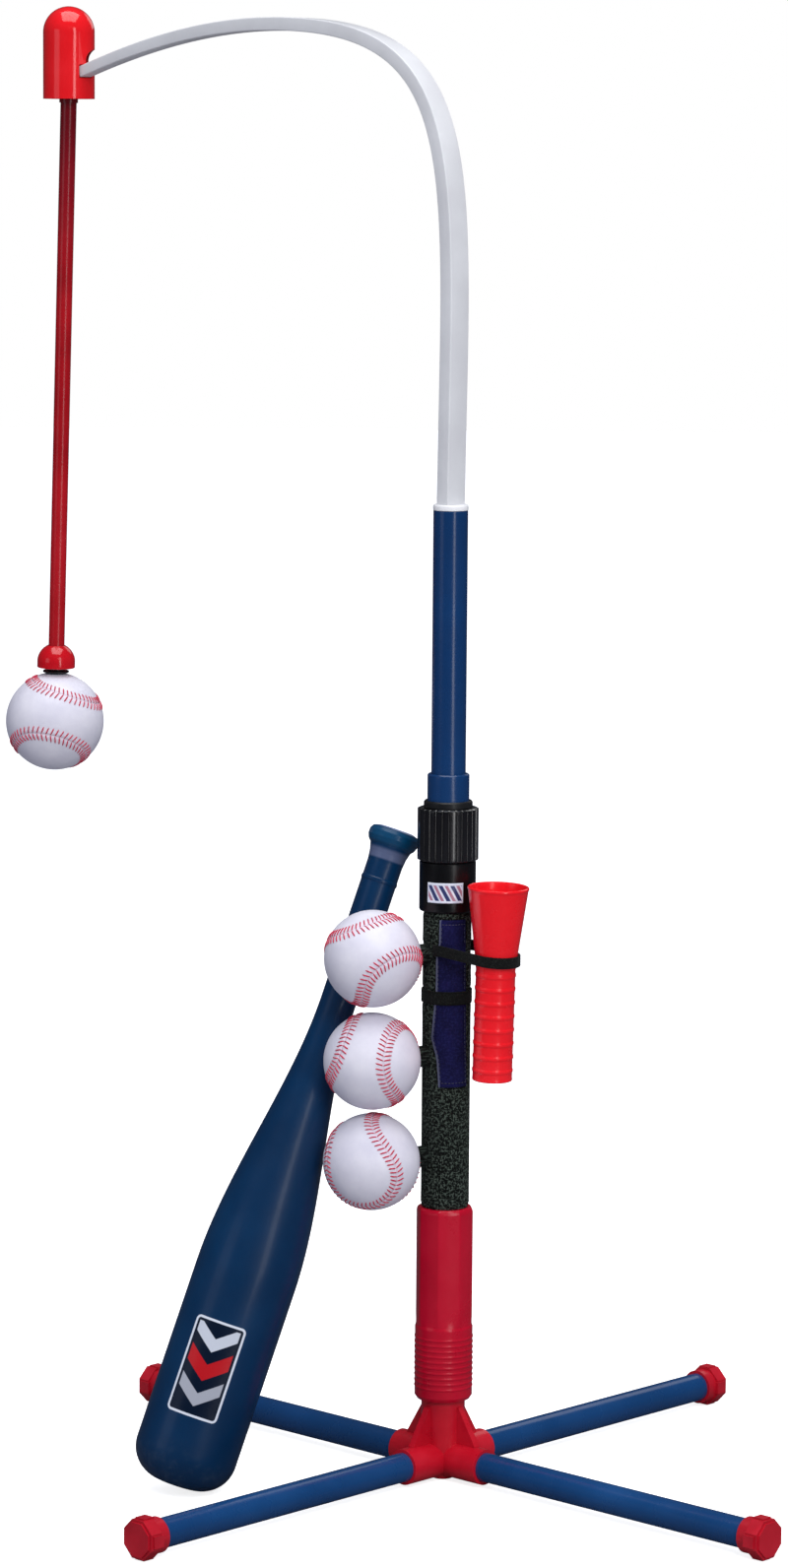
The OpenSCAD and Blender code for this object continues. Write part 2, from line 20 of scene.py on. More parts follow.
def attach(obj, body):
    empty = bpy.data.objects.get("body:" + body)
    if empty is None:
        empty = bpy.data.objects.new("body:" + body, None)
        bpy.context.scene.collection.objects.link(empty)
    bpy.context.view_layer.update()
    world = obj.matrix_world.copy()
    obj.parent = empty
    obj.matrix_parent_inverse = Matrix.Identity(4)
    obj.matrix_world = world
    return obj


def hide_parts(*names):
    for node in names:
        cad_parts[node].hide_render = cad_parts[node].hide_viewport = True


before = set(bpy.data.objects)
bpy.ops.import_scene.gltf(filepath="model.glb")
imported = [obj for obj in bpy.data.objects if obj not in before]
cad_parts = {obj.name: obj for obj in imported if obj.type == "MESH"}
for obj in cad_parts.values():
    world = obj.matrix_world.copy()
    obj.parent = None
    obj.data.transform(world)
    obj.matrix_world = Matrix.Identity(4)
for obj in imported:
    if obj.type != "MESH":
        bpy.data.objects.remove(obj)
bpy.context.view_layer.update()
random.seed(7)
scene = bpy.context.scene

MM = 0.001

# ------------------------------------------------------------------ shared sizes
POST_FIT = 15.85  # inner radius of the parts that fit round the post

# The bat's frame: origin at the knob's face, z up out of it, so the bat runs down -z
BAT_FRAME = (
    Matrix.Translation(Vector((-52.86, -0.28, 491.6)) * MM)
    @ Matrix.Rotation(radians(71.78), 4, "Z")
    @ Matrix.Rotation(radians(20.82), 4, "Y")
)
BARREL_R = 38.9
PANEL_AZIMUTH = radians(-128.2)  # printed panel, in the bat's frame
PANEL_DOWN = 427.3  # its middle, measured down the bat
PANEL_W, PANEL_H, PANEL_CORNER = 41, 74, 4

# The rod's frame: z runs along the rod, and the tether ball hangs down it
ROD_TILT = radians(2)
ROD_FRAME = Matrix.Translation(Vector((-416, 0, 1048)) * MM) @ Matrix.Rotation(ROD_TILT, 4, "Y")
TETHER_BALL_DROP, TETHER_BALL_R = 506.5, 39.5

BALL_AZIMUTH, BALL_OUT, STORED_BALL_R = radians(-107.6), 63.4, 36.5
BALL_HEIGHTS = (403.7, 326.3, 249.9)

LABEL_AZIMUTHS, LABEL_Z = (-90.6, -14), (444.1, 459.3)  # degrees, mm
LABEL_R = 21.8

CUP_STRAP_Z, LOWER_STRAP_Z = (401.3, 409.7), (366.8, 376.9)
# the cup strap is raised at the cover and falls towards the cup
CUP_STRAP_RISE, CUP_STRAP_FALL = 2.6, 4.4


# ------------------------------------------------------------------ mesh helpers
def polar(r, azimuth, z):
    return r * cos(azimuth), r * sin(azimuth), z


def smooth(t):
    return 0 if t <= 0 else 1 if t >= 1 else 3 * t * t - 2 * t ** 3


def in_bands(z, bands):
    return any(low < z < hood_shade for low, hood_shade in bands)


def make_object(name, verts, faces, material=None):
    """A smooth-shaded object from points in metres."""
    mesh = bpy.data.meshes.new(name)
    mesh.from_pydata([tuple(v) for v in verts], [], [tuple(f) for f in faces])
    mesh.validate()
    mesh.polygons.foreach_set("use_smooth", [True] * len(mesh.polygons))
    mesh.update()
    piece = bpy.data.objects.new(name, mesh)
    scene.collection.objects.link(piece)
    if material:
        mesh.materials.append(material.data)
    return piece


def make_solid(name, verts, faces, material, sharp=None):
    """A closed object with outward normals; edges above the sharp angle (degrees) stay crisp."""
    piece = make_object(name, verts, faces, material)
    bm = bmesh.new()
    bm.from_mesh(piece.data)
    bmesh.ops.recalc_face_normals(bm, faces=bm.faces)
    bm.to_mesh(piece.data)
    bm.free()
    piece.data.update()
    if sharp is not None:
        piece.data.set_sharp_from_angle(angle=radians(sharp))
    return piece


def place(piece, body, node=None):
    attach(piece, body)
    if node:
        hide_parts(node)


def bridge(first, second):
    """Faces between two closed loops of vertex numbers; a loop of one number is a pole."""
    faces = []
    count = max(len(first), len(second))
    for k in range(count):
        j = (k + 1) % count
        if len(first) == 1:
            faces.append((first[0], second[j], second[k]))
        elif len(second) == 1:
            faces.append((first[k], first[j], second[0]))
        else:
            faces.append((first[k], first[j], second[j], second[k]))
    return faces


def loft(loops, closed=False):
    following = loops[1:] + (loops[:1] if closed else [])
    return [face for pair in zip(loops, following) for face in bridge(*pair)]


def number_loops(count, size):
    return [range(i * size, (i + 1) * size) for i in range(count)]


def fillet(points, steps=4):
    """Rounds a profile's corners. A point is (r, z) or (r, z, radius); both ends stay."""
    rounded = []
    for i, point in enumerate(points):
        radius = point[2] if len(point) > 2 else 0
        if radius <= 0 or i in (0, len(points) - 1):
            rounded.append(point[:2])
            continue
        before, corner, after = (Vector(p[:2]) for p in points[i - 1:i + 2])
        back, ahead = before - corner, after - corner
        back_length, ahead_length = back.length, ahead.length
        back.normalize()
        ahead.normalize()
        angle = back.angle(ahead)
        if angle > radians(176):
            rounded.append(point[:2])
            continue
        cut = min(radius / tan(angle / 2), back_length * 0.49, ahead_length * 0.49)
        radius = cut * tan(angle / 2)
        centre = corner + (back + ahead).normalized() * (radius / sin(angle / 2))
        start, end = corner + back * cut - centre, corner + ahead * cut - centre
        turn = start.angle(end)
        cross = start.x * end.y - start.y * end.x
        for k in range(steps + 1):
            t = turn * k / steps * (1 if cross > 0 else -1)
            spun = (start.x * cos(t) - start.y * sin(t), start.x * sin(t) + start.y * cos(t))
            on_arc = Vector(spun) + centre
            rounded.append((on_arc.x, on_arc.y))
    return rounded


def refine(profile, step):
    """Splits the long runs of a profile into pieces of at least one step."""
    fine = [profile[0]]
    for a, b in zip(profile, profile[1:]):
        n = max(1, int(math.hypot(b[0] - a[0], b[1] - a[1]) / step))
        for k in range(1, n + 1):
            fine.append((a[0] + (b[0] - a[0]) * k / n, a[1] + (b[1] - a[1]) * k / n))
    return fine


def lathe(name, profile, material, seg=128, closed=False, placing=None, sharp=35, radial=None):
    """Revolves an (r, z) profile about z. radial(r, z, azimuth) may change the radius.

    closed joins the last profile point to the first; placing is a matrix in metres.
    """
    verts, loops = [], []
    for r, z in profile:
        start = len(verts)
        if r < 1e-6:
            verts.append((0, 0, z))
        else:
            for k in range(seg):
                a = 2 * pi * k / seg
                verts.append(polar(radial(r, z, a) if radial else r, a, z))
        loops.append(range(start, len(verts)))
    verts = [Vector(v) * MM for v in verts]
    if placing is not None:
        verts = [placing @ v for v in verts]
    return make_solid(name, verts, loft(loops, closed), material, sharp)


def grid_solid(name, outer, inner, material, wrap=False):
    """A closed shell between two point grids [rows][columns]; wrap joins last column to first."""
    rows, cols = outer.shape[:2]
    verts = list(outer.reshape(-1, 3)) + list(inner.reshape(-1, 3))
    off = rows * cols
    steps = cols if wrap else cols - 1
    faces = []
    for j in range(rows - 1):
        for i in range(steps):
            i2 = (i + 1) % cols
            a, b = j * cols + i, j * cols + i2
            c, d = b + cols, a + cols
            faces.append((a, b, c, d))
            faces.append((off + d, off + c, off + b, off + a))
    top = (rows - 1) * cols
    for i in range(steps):
        i2 = (i + 1) % cols
        faces.append((i2, i, off + i, off + i2))
        faces.append((top + i, top + i2, off + top + i2, off + top + i))
    if not wrap:
        for j in range(rows - 1):
            a, d = j * cols, (j + 1) * cols
            faces.append((a, d, off + d, off + a))
            b, c = a + cols - 1, d + cols - 1
            faces.append((c, b, off + b, off + c))
    return make_solid(name, [Vector(v) * MM for v in verts], faces, material, sharp=60)


def rounded_rect(width, thickness, corner, steps=4):
    points = []
    x, y = width / 2 - corner, thickness / 2 - corner
    for cx, cy, start in ((x, y, 0), (-x, y, 90), (-x, -y, 180), (x, -y, 270)):
        for k in range(steps + 1):
            a = radians(start + 90 * k / steps)
            points.append((cx + corner * cos(a), cy + corner * sin(a)))
    return points


def sweep(name, path, sections, width_axis, material, closed=False):
    """Sweeps (width, thickness) sections along a path, one for each of its points."""
    verts = []
    last = len(path) - 1
    for i, (point, section) in enumerate(zip(path, sections)):
        if closed:
            before, after = path[i - 1], path[(i + 1) % len(path)]
        else:
            before, after = path[max(i - 1, 0)], path[min(i + 1, last)]
        thickness_axis = width_axis.cross((after - before).normalized())
        verts += [point + width_axis * w + thickness_axis * t for w, t in section]
    size = len(sections[0])
    loops = number_loops(len(path), size)
    faces = loft(loops, closed)
    if not closed:
        centre = len(verts)
        for loop in (loops[0], loops[-1]):
            verts.append(sum((verts[k] for k in loop), Vector()) / size)
        faces += bridge([centre], loops[0]) + bridge(loops[-1], [centre + 1])
    return make_solid(name, [v * MM for v in verts], faces, material)


def thread(start, end, up, radius, bow, steps=6, sides=6):
    """Points and faces of one stitch, bowed towards up, with narrowed ends."""
    start, end, up = Vector(start), Vector(end), Vector(up)
    run = end - start
    across = run.normalized().cross(up).normalized()
    verts = []
    for i in range(steps + 1):
        t = i / steps
        centre = start + run * t + up * (bow * (1 - (2 * t - 1) ** 2))
        r = radius * sqrt(max(0.05, 1 - (2 * t - 1) ** 6))
        for j in range(sides):
            a = 2 * pi * j / sides
            verts.append(centre + across * (r * cos(a)) + up * (r * sin(a)))
    loops = number_loops(steps + 1, sides)
    return verts, loft(loops) + [tuple(reversed(loops[0])), tuple(loops[-1])]


def post_stitch(start, end, radius, bow, azimuth):
    """A stitch between two (r, azimuth, z) points, bowed out from the post at azimuth."""
    start, end = (Vector(polar(*p)) * MM for p in (start, end))
    return thread(start, end, polar(1, azimuth, 0), radius * MM, bow * MM)


def join(name, parts, material):
    """One object from many (points, faces) parts in metres."""
    verts, faces = [], []
    for part_verts, part_faces in parts:
        start = len(verts)
        verts += [tuple(v) for v in part_verts]
        faces += [tuple(i + start for i in face) for face in part_faces]
    return make_object(name, verts, faces, material)


# ------------------------------------------------------------------ material builder
def rgb(red, green, blue):
    """An sRGB colour of 0 to 255 as linear RGBA."""
    parts = (c / 255 for c in (red, green, blue))
    linear = (c / 12.92 if c <= 0.04045 else ((c + 0.055) / 1.055) ** 2.4 for c in parts)
    return (*linear, 1.0)


class Material:
    """A Principled material. Arguments may be numbers, colours or node outputs.

    Textures are laid out in object space, in metres.
    """

    INPUTS = {
        "color": "Base Color", "rough": "Roughness", "metal": "Metallic", "ior": "IOR",
        "coat": "Coat Weight", "coat_rough": "Coat Roughness", "spec": "Specular IOR Level",
        "sheen": "Sheen Weight", "sheen_rough": "Sheen Roughness", "sheen_tint": "Sheen Tint",
    }

    def __init__(self, name):
        self.data = bpy.data.materials.new(name)
        self.data.use_nodes = True
        self.tree = self.data.node_tree
        self.tree.nodes.clear()
        self.output = self.new("ShaderNodeOutputMaterial")
        self.shader = self.new("ShaderNodeBsdfPrincipled")
        self.link(self.shader.outputs[0], self.output.inputs[0])
        self.position = self.new("ShaderNodeTexCoord").outputs["Object"]
        self.normal = None

    def new(self, kind, **props):
        node = self.tree.nodes.new(kind)
        for key, value in props.items():
            setattr(node, key, value)
        return node

    def link(self, source, target):
        self.tree.links.new(source, target)

    def put(self, socket, value):
        if hasattr(value, "is_output"):
            self.link(value, socket)
        else:
            socket.default_value = value

    def set(self, **values):
        for key, value in values.items():
            self.put(self.shader.inputs[self.INPUTS[key]], value)

    def color(self):
        """What feeds the base colour so far."""
        return self.shader.inputs["Base Color"].links[0].from_socket

    def noise(self, scale, detail=3, rough=0.5, at=None):
        node = self.new("ShaderNodeTexNoise")
        self.put(node.inputs["Vector"], at or self.position)
        node.inputs["Scale"].default_value = scale
        node.inputs["Detail"].default_value = detail
        node.inputs["Roughness"].default_value = rough
        return node.outputs[0]

    def voronoi(self, scale):
        node = self.new("ShaderNodeTexVoronoi", feature="F1")
        self.put(node.inputs["Vector"], self.position)
        node.inputs["Scale"].default_value = scale
        return node.outputs[0]

    def math(self, operation, a, b=0.0, clamp=False):
        node = self.new("ShaderNodeMath", operation=operation, use_clamp=clamp)
        for socket, value in zip(node.inputs, (a, b, 0.0)):
            self.put(socket, value)
        return node.outputs[0]

    def mul(self, a, b):
        return self.math("MULTIPLY", a, b)

    def add(self, a, b):
        return self.math("ADD", a, b)

    def sub(self, a, b):
        return self.math("SUBTRACT", a, b)

    def abs(self, a):
        return self.math("ABSOLUTE", a)

    def sin(self, a):
        return self.math("SINE", a)

    def max(self, a, b):
        return self.math("MAXIMUM", a, b)

    def length(self, a, b):
        return self.math("SQRT", self.add(self.math("POWER", a, 2.0), self.math("POWER", b, 2.0)))

    def sep(self, vector=None):
        node = self.new("ShaderNodeSeparateXYZ")
        self.put(node.inputs[0], vector or self.position)
        return node.outputs

    def comb(self, *xyz):
        node = self.new("ShaderNodeCombineXYZ")
        for socket, value in zip(node.inputs, xyz):
            self.put(socket, value)
        return node.outputs[0]

    def stretch(self, xyz, scales):
        return self.comb(*[self.mul(value, scale) for value, scale in zip(xyz, scales)])

    def ramp(self, factor, *stops):
        """A colour ramp through (position, colour) stops."""
        node = self.new("ShaderNodeValToRGB")
        self.put(node.inputs[0], factor)
        elements = node.color_ramp.elements
        while len(elements) < len(stops):
            elements.new(0.5)
        for element, (position, color) in zip(elements, stops):
            element.position = position
            element.color = color
        return node.outputs[0]

    def step(self, value, span):
        """Rises smoothly from 0 to 1 over the span."""
        node = self.new("ShaderNodeMapRange", interpolation_type="SMOOTHSTEP")
        self.put(node.inputs["Value"], value)
        node.inputs["From Min"].default_value = span[0]
        node.inputs["From Max"].default_value = span[1]
        return node.outputs[0]

    def drop(self, value, span):
        """Falls smoothly from 1 to 0 over the span."""
        return self.sub(1.0, self.step(value, span))

    def between(self, value, rise, fall):
        return self.mul(self.step(value, rise), self.drop(value, fall))

    def remap(self, value, to, source=(0.3, 0.7)):
        """Linear map; the default source is the span that most of a noise fills."""
        node = self.new("ShaderNodeMapRange")
        self.put(node.inputs["Value"], value)
        for key, number in zip(("From Min", "From Max", "To Min", "To Max"), (*source, *to)):
            node.inputs[key].default_value = number
        return node.outputs[0]

    def mix(self, mask, under, over, amount=None):
        """Lays a colour over another where the mask is 1, at most by amount."""
        if amount is not None:
            mask = self.mul(mask, amount)
        node = self.new("ShaderNodeMix", data_type="RGBA")
        self.put(node.inputs[0], mask)
        self.put(node.inputs[6], under)
        self.put(node.inputs[7], over)
        return node.outputs[2]

    def bump(self, height, strength, distance):
        """Adds a bump on top of those before it; distance is in metres."""
        node = self.new("ShaderNodeBump")
        self.put(node.inputs["Height"], height)
        node.inputs["Strength"].default_value = strength
        node.inputs["Distance"].default_value = distance
        if self.normal is not None:
            self.link(self.normal, node.inputs["Normal"])
        self.normal = node.outputs[0]
        self.link(self.normal, self.shader.inputs["Normal"])

    def attribute(self, name):
        return self.new("ShaderNodeAttribute", attribute_name=name).outputs["Fac"]

    def arc_length(self, r):
        """Arc length round z at radius r, in metres."""
        x, y, z = self.sep()
        return self.mul(self.math("ARCTAN2", y, x), r)


# ------------------------------------------------------------------ materials
def plastic(name, dark, base, light, rough=0.3, coat=0.25, spec=0.35, grain=0.35, mottling=18,
            scratch=0.25, coat_rough=0.12, edge=0.0):
    """Moulded or painted plastic: slow colour drift, mould grain, hairlines, uneven gloss."""
    m = Material(name)
    drift = m.noise(scale=mottling, detail=4, rough=0.55)
    color = m.ramp(drift, (0.25, dark), (0.5, base), (0.78, light))
    fine = m.noise(scale=1400, detail=2, rough=0.6)
    color = m.mix(m.remap(fine, to=(0.0, 0.12)), color, light)
    # hairline scratches, upright and then level: stretched noise, thresholded
    xyz = m.sep()
    hairlines = []
    for scales, span in (((900, 900, 60), (0.66, 0.74)), ((70, 80, 1100), (0.68, 0.76))):
        lines = m.noise(scale=1.0, detail=2, at=m.stretch(xyz, scales))
        hairlines.append(m.step(lines, span))
    scratches = m.mul(m.max(*hairlines), scratch)
    color = m.mix(scratches, color, light, amount=0.35)
    if edge > 0:
        # worn edges
        geometry = m.new("ShaderNodeNewGeometry")
        worn = m.step(geometry.outputs["Pointiness"], span=(0.53, 0.62))
        color = m.mix(worn, color, light, amount=edge)
    gloss = m.remap(m.noise(scale=35, detail=4, rough=0.6), to=(rough - 0.05, rough + 0.06))
    scratch_rough = m.mul(scratches, 0.25)
    m.set(color=color, rough=m.math("ADD", gloss, scratch_rough, clamp=True), coat=coat,
          coat_rough=coat_rough, spec=spec)
    m.bump(m.noise(scale=2200, detail=3, rough=0.6), strength=grain * 0.3, distance=0.00008)
    m.bump(m.noise(scale=160, detail=2), strength=grain * 0.35, distance=0.00015)
    m.bump(scratches, strength=-0.25, distance=0.00006)
    return m


def tube_paint(name, dark, base, light):
    """Painted tube with orange peel."""
    m = plastic(name, dark, base, light, rough=0.27, coat=0.35, grain=0.3, mottling=9,
                scratch=0.07)
    m.bump(m.noise(scale=620, detail=2), strength=0.12, distance=0.00008)
    return m


def rod_plastic():
    """Red plastic with painted shade towards the rod's upper end, where the hood shadows it."""
    m = plastic("rod_plastic", rgb(142, 4, 14), rgb(172, 12, 24), rgb(190, 26, 38), rough=0.26,
                coat=0.3, grain=0.2, scratch=0.1)
    color = m.color()
    # painted shadow of the hood: the colour darkens towards the rod's upper end
    hood_shade = m.step(m.sep()[2], span=(0.86, 1.02))
    m.set(color=m.mix(hood_shade, color, rgb(70, 0, 16), amount=0.72))
    return m


def knit(name, dark, base, fleck, weave=0.0011, fleck_amount=0.35, r=0.0175, hem=None):
    """Heathered knit on a tube of radius r: yarn columns and rows, lighter flecks, fuzz.

    weave is the width of a column; both are in metres.
    """
    m = Material(name)
    u = m.arc_length(r)
    z = m.sep()[2]
    columns = m.sin(m.mul(u, 2 * pi / weave))
    height = m.mul(z, 2 * pi / (weave * 0.82))
    rows = m.sin(m.add(height, m.mul(m.abs(columns), 1.6)))
    yarn = m.mul(m.add(m.mul(columns, 0.55), m.mul(rows, 0.45)), 1.0)
    # flecks: scale round the tube, scale up it, noise slice, threshold
    flecks = []
    for round_scale, up_scale, slice_, span in (
            (780, 420, 0.0, (0.535, 0.60)), (390, 780, 3.0, (0.54, 0.61))):
        at = m.comb(m.mul(u, round_scale), m.mul(z, up_scale), slice_)
        flecks.append(m.step(m.noise(scale=1.0, rough=0.6, at=at), span))
    color = m.ramp(m.noise(scale=60, detail=4, rough=0.6), (0.3, dark), (0.7, base))
    color = m.mix(m.max(*flecks), color, fleck, amount=fleck_amount)
    color = m.mix(m.remap(yarn, source=(-1, 1), to=(0.45, 0.0)), color, dark)
    if hem:
        color = m.mix(m.attribute("hem"), color, hem, amount=0.75)
    m.set(color=color, rough=0.92, spec=0.2, sheen=0.12, sheen_rough=0.5, sheen_tint=fleck)
    m.bump(yarn, strength=0.7, distance=0.00035)
    m.bump(m.noise(scale=1800, rough=0.7), strength=0.35, distance=0.0002)
    return m


def webbing(name, dark, base, light, z0, z1):
    """Woven elastic: ribs along its length and a fine cross weave, dark edges at z0 and z1."""
    rib_pitch, cross_pitch = 0.0009, 0.0007
    edge_in, edge_out = 0.0016, 0.0011
    m = Material(name)
    u = m.arc_length(0.0195)
    z = m.sep()[2]
    rib = m.abs(m.sin(m.mul(z, pi / rib_pitch)))
    cross = m.sin(m.add(m.mul(u, 2 * pi / cross_pitch), m.mul(z, pi / rib_pitch)))
    height = m.add(m.mul(rib, 0.75), m.mul(cross, 0.25))
    upper = m.step(z, span=(z1 - edge_in, z1 - edge_out))
    lower = m.step(m.mul(z, -1.0), span=(-z0 - edge_in, -z0 - edge_out))
    edge = m.max(upper, lower)
    color = m.mix(m.remap(height, source=(0.0, 1.0), to=(0.0, 0.75)), dark, base)
    fuzz = m.step(m.noise(scale=900, rough=0.6), span=(0.5, 0.7))
    color = m.mix(fuzz, color, light, amount=0.4)
    color = m.mix(edge, color, dark, amount=0.5)
    m.set(color=color, rough=0.9, spec=0.15, sheen=0.05)
    m.bump(height, strength=0.8, distance=0.00025)
    m.bump(m.noise(scale=1500, detail=2, rough=0.6), strength=0.3, distance=0.00012)
    return m


def thread_yarn(name, dark, base):
    """Twisted sewing thread."""
    twist_pitch = 0.00055
    m = Material(name)
    x, y, z = m.sep()
    slanted = m.add(m.add(x, y), m.mul(z, 1.3))
    twist = m.sin(m.mul(slanted, 2 * pi / twist_pitch))
    color = m.mix(m.remap(twist, source=(-1, 1), to=(0.0, 1.0)), dark, base)
    color = m.mix(m.noise(scale=500, detail=2), color, dark, amount=0.25)
    m.set(color=color, rough=0.6, sheen=0.3)
    m.bump(twist, strength=0.5, distance=0.00008)
    return m


def leather(name):
    """Ball cover: pebbled synthetic leather, tinted beside the seam."""
    m = Material(name)
    seam = m.attribute("seam")
    drift = m.noise(scale=40, detail=4, rough=0.6)
    color = m.ramp(drift, (0.3, rgb(212, 210, 224)), (0.7, rgb(228, 226, 236)))
    color = m.mix(m.step(seam, span=(0.25, 1.0)), color, rgb(236, 190, 212), amount=0.2)
    color = m.mix(m.step(seam, span=(0.93, 1.0)), color, rgb(176, 150, 162), amount=0.45)
    pebbles = m.voronoi(scale=900)
    stains = m.step(m.noise(scale=120, detail=5, rough=0.7), span=(0.55, 0.8))
    color = m.mix(stains, color, rgb(200, 196, 205), amount=0.12)
    m.set(color=color, rough=m.remap(m.noise(scale=90, rough=0.6), to=(0.42, 0.56)), spec=0.4,
          coat=0.08, coat_rough=0.3)
    m.bump(pebbles, strength=-0.25, distance=0.00015)
    m.bump(m.noise(scale=700, rough=0.6), strength=0.2, distance=0.0001)
    return m


def metal(name, base, rough=0.25):
    """Brushed metal."""
    m = Material(name)
    at = m.stretch(m.sep(), (2500, 120, 2500))
    brushing = m.noise(scale=1.0, rough=0.6, at=at)
    m.set(color=m.mix(m.remap(brushing, to=(0, 1)), base, rgb(150, 152, 156)), metal=1.0,
          rough=m.remap(brushing, to=(rough - 0.07, rough + 0.1)))
    m.bump(brushing, strength=0.2, distance=0.00005)
    return m


def bat_paint():
    """Satin navy with a printed panel: a rounded border round three chevrons; painted highlights
    and a painted reflection on the knob.
    """
    m = plastic("bat_paint", rgb(0, 36, 70), rgb(0, 43, 80), rgb(3, 54, 94), rough=0.36,
                coat=0.12, grain=0.3, mottling=12, scratch=0.12, spec=0.3)
    paint = m.color()
    # the bat's own coordinates, by its inverse placement
    mapping = m.new("ShaderNodeMapping")
    m.link(m.position, mapping.inputs["Vector"])
    shift, turn, _ = BAT_FRAME.inverted().decompose()
    mapping.inputs["Rotation"].default_value = tuple(turn.to_euler("XYZ"))
    mapping.inputs["Location"].default_value = tuple(shift)
    x, y, z = m.sep(mapping.outputs[0])
    # panel coordinates from its middle: across is arc length, along runs down the bat
    azimuth = m.sub(m.math("ARCTAN2", y, x), PANEL_AZIMUTH)
    turns = m.math("ROUND", m.math("DIVIDE", azimuth, 2 * pi))
    azimuth = m.sub(azimuth, m.mul(turns, 2 * pi))
    across = m.mul(azimuth, BARREL_R * MM)
    down = m.mul(z, -1.0)
    along = m.sub(down, PANEL_DOWN * MM)
    # signed distance to the panel's outline, negative inside
    over_x = m.sub(m.abs(across), (PANEL_W / 2 - PANEL_CORNER) * MM)
    over_y = m.sub(m.abs(along), (PANEL_H / 2 - PANEL_CORNER) * MM)
    outside = m.length(m.max(over_x, 0.0), m.max(over_y, 0.0))
    overlap = m.math("MINIMUM", m.max(over_x, over_y), 0.0)
    distance = m.sub(m.add(outside, overlap), PANEL_CORNER * MM)
    border = m.drop(m.abs(m.add(distance, 0.0009)), span=(0.0007, 0.0011))
    inside = m.drop(distance, span=(-0.0017, -0.0013))
    slant = m.sub(along, m.mul(m.abs(across), -0.75))
    color = m.mix(inside, paint, rgb(2, 8, 26), amount=0.8)
    # chevrons: middle along the panel, half width (metres), colour
    for middle, half_width, tone in (
            (-0.018, 0.0048, rgb(198, 204, 216)),
            (0.003, 0.0060, rgb(186, 14, 26)),
            (0.024, 0.0048, rgb(164, 168, 180))):
        bar = m.drop(m.abs(m.sub(slant, middle)), span=(half_width, half_width + 0.0006))
        field = m.drop(distance, span=(-0.0042, -0.0036))
        color = m.mix(m.mul(field, bar), color, tone)
    color = m.mix(border, color, rgb(214, 220, 232))
    # scuffs near the rounded end
    near_end = m.step(down, span=(0.480, 0.518))
    patches = m.step(m.noise(scale=140, detail=5, rough=0.7), span=(0.45, 0.75))
    color = m.mix(m.mul(near_end, patches), color, rgb(70, 86, 105), amount=0.35)
    # painted highlight: a lavender band on the cone under the knob
    cone = m.between(down, rise=(0.0150, 0.0185), fall=(0.0235, 0.0255))
    color = m.mix(cone, color, rgb(92, 102, 134), amount=0.85)
    # painted highlight: a lighter teal band on the knob's rim
    rim = m.between(down, rise=(0.0008, 0.0030), fall=(0.0125, 0.0150))
    color = m.mix(rim, color, rgb(6, 70, 106), amount=0.7)
    # painted reflection of the top light on the knob's face
    face = m.drop(down, span=(0.0006, 0.0014))
    color = m.mix(face, color, rgb(150, 162, 196), amount=0.9)
    # shadowed edge of the hole that the plug closes
    in_hole = m.drop(m.length(x, y), span=(0.0055, 0.0062))
    hole = m.mul(in_hole, m.drop(down, span=(0.0014, 0.0018)))
    m.set(color=m.mix(hole, color, rgb(8, 10, 16)))
    return m


def label_print():
    """Collar label: pale border round a field of slanted bars in two colours."""
    bar_pitch = 0.0088
    m = Material("collar_label_print")
    x, y, z = m.sep()
    azimuth = m.math("ARCTAN2", y, x)
    u = m.mul(m.sub(azimuth, radians(sum(LABEL_AZIMUTHS) / 2)), LABEL_R * MM)
    v = m.sub(z, sum(LABEL_Z) / 2 * MM)
    across, up = m.abs(u), m.abs(v)
    field = m.mul(m.drop(across, span=(0.0131, 0.0134)), m.drop(up, span=(0.0056, 0.0059)))
    slant = m.add(u, m.mul(v, 0.55))
    phase = m.math("FRACT", m.add(m.math("DIVIDE", slant, bar_pitch), 0.25))
    blue = m.between(phase, rise=(0.04, 0.07), fall=(0.40, 0.43))
    rose = m.between(phase, rise=(0.56, 0.59), fall=(0.84, 0.87))
    mottle = m.step(m.noise(scale=300, detail=4, rough=0.6), span=(0.4, 0.7))
    color = m.mix(mottle, rgb(226, 230, 242), rgb(206, 212, 230))
    color = m.mix(m.mul(field, blue), color, rgb(48, 58, 108))
    color = m.mix(m.mul(field, rose), color, rgb(176, 120, 140))
    m.set(color=color, rough=m.remap(m.noise(scale=80), to=(0.3, 0.42)), coat=0.2)
    m.bump(field, strength=-0.5, distance=0.0001)
    m.bump(m.noise(scale=900, detail=2, rough=0.6), strength=0.2, distance=0.00006)
    return m


# plastics: dark, base and light shades, then finish
CAP_RED = plastic("cap_plastic", rgb(150, 10, 28), rgb(184, 16, 36), rgb(206, 34, 54),
                  rough=0.34, coat=0.2, edge=0.25, scratch=0.12)
HUB_RED = plastic("hub_plastic", rgb(160, 8, 28), rgb(190, 12, 34), rgb(208, 30, 50),
                  rough=0.3, coat=0.25, edge=0.25, grain=0.35, scratch=0.12)
SLEEVE_RED = plastic("sleeve_plastic", rgb(168, 0, 32), rgb(188, 2, 38), rgb(200, 12, 46),
                     rough=0.3, coat=0.2, grain=0.3, scratch=0.05)
HOOD_RED = plastic("hood_plastic", rgb(214, 18, 26), rgb(226, 22, 30), rgb(236, 34, 42),
                   rough=0.14, coat=0.6, coat_rough=0.03, grain=0.08, scratch=0.05)
ROD_RED = rod_plastic()
STOPPER_RED = plastic("stopper_plastic", rgb(178, 6, 22), rgb(196, 12, 26), rgb(214, 30, 44),
                      rough=0.16, coat=0.6, coat_rough=0.05, grain=0.1, scratch=0.05)
CUP_RED = plastic("cup_plastic", rgb(232, 16, 28), rgb(244, 22, 34), rgb(250, 36, 46),
                  rough=0.26, coat=0.35, grain=0.2, scratch=0.08)
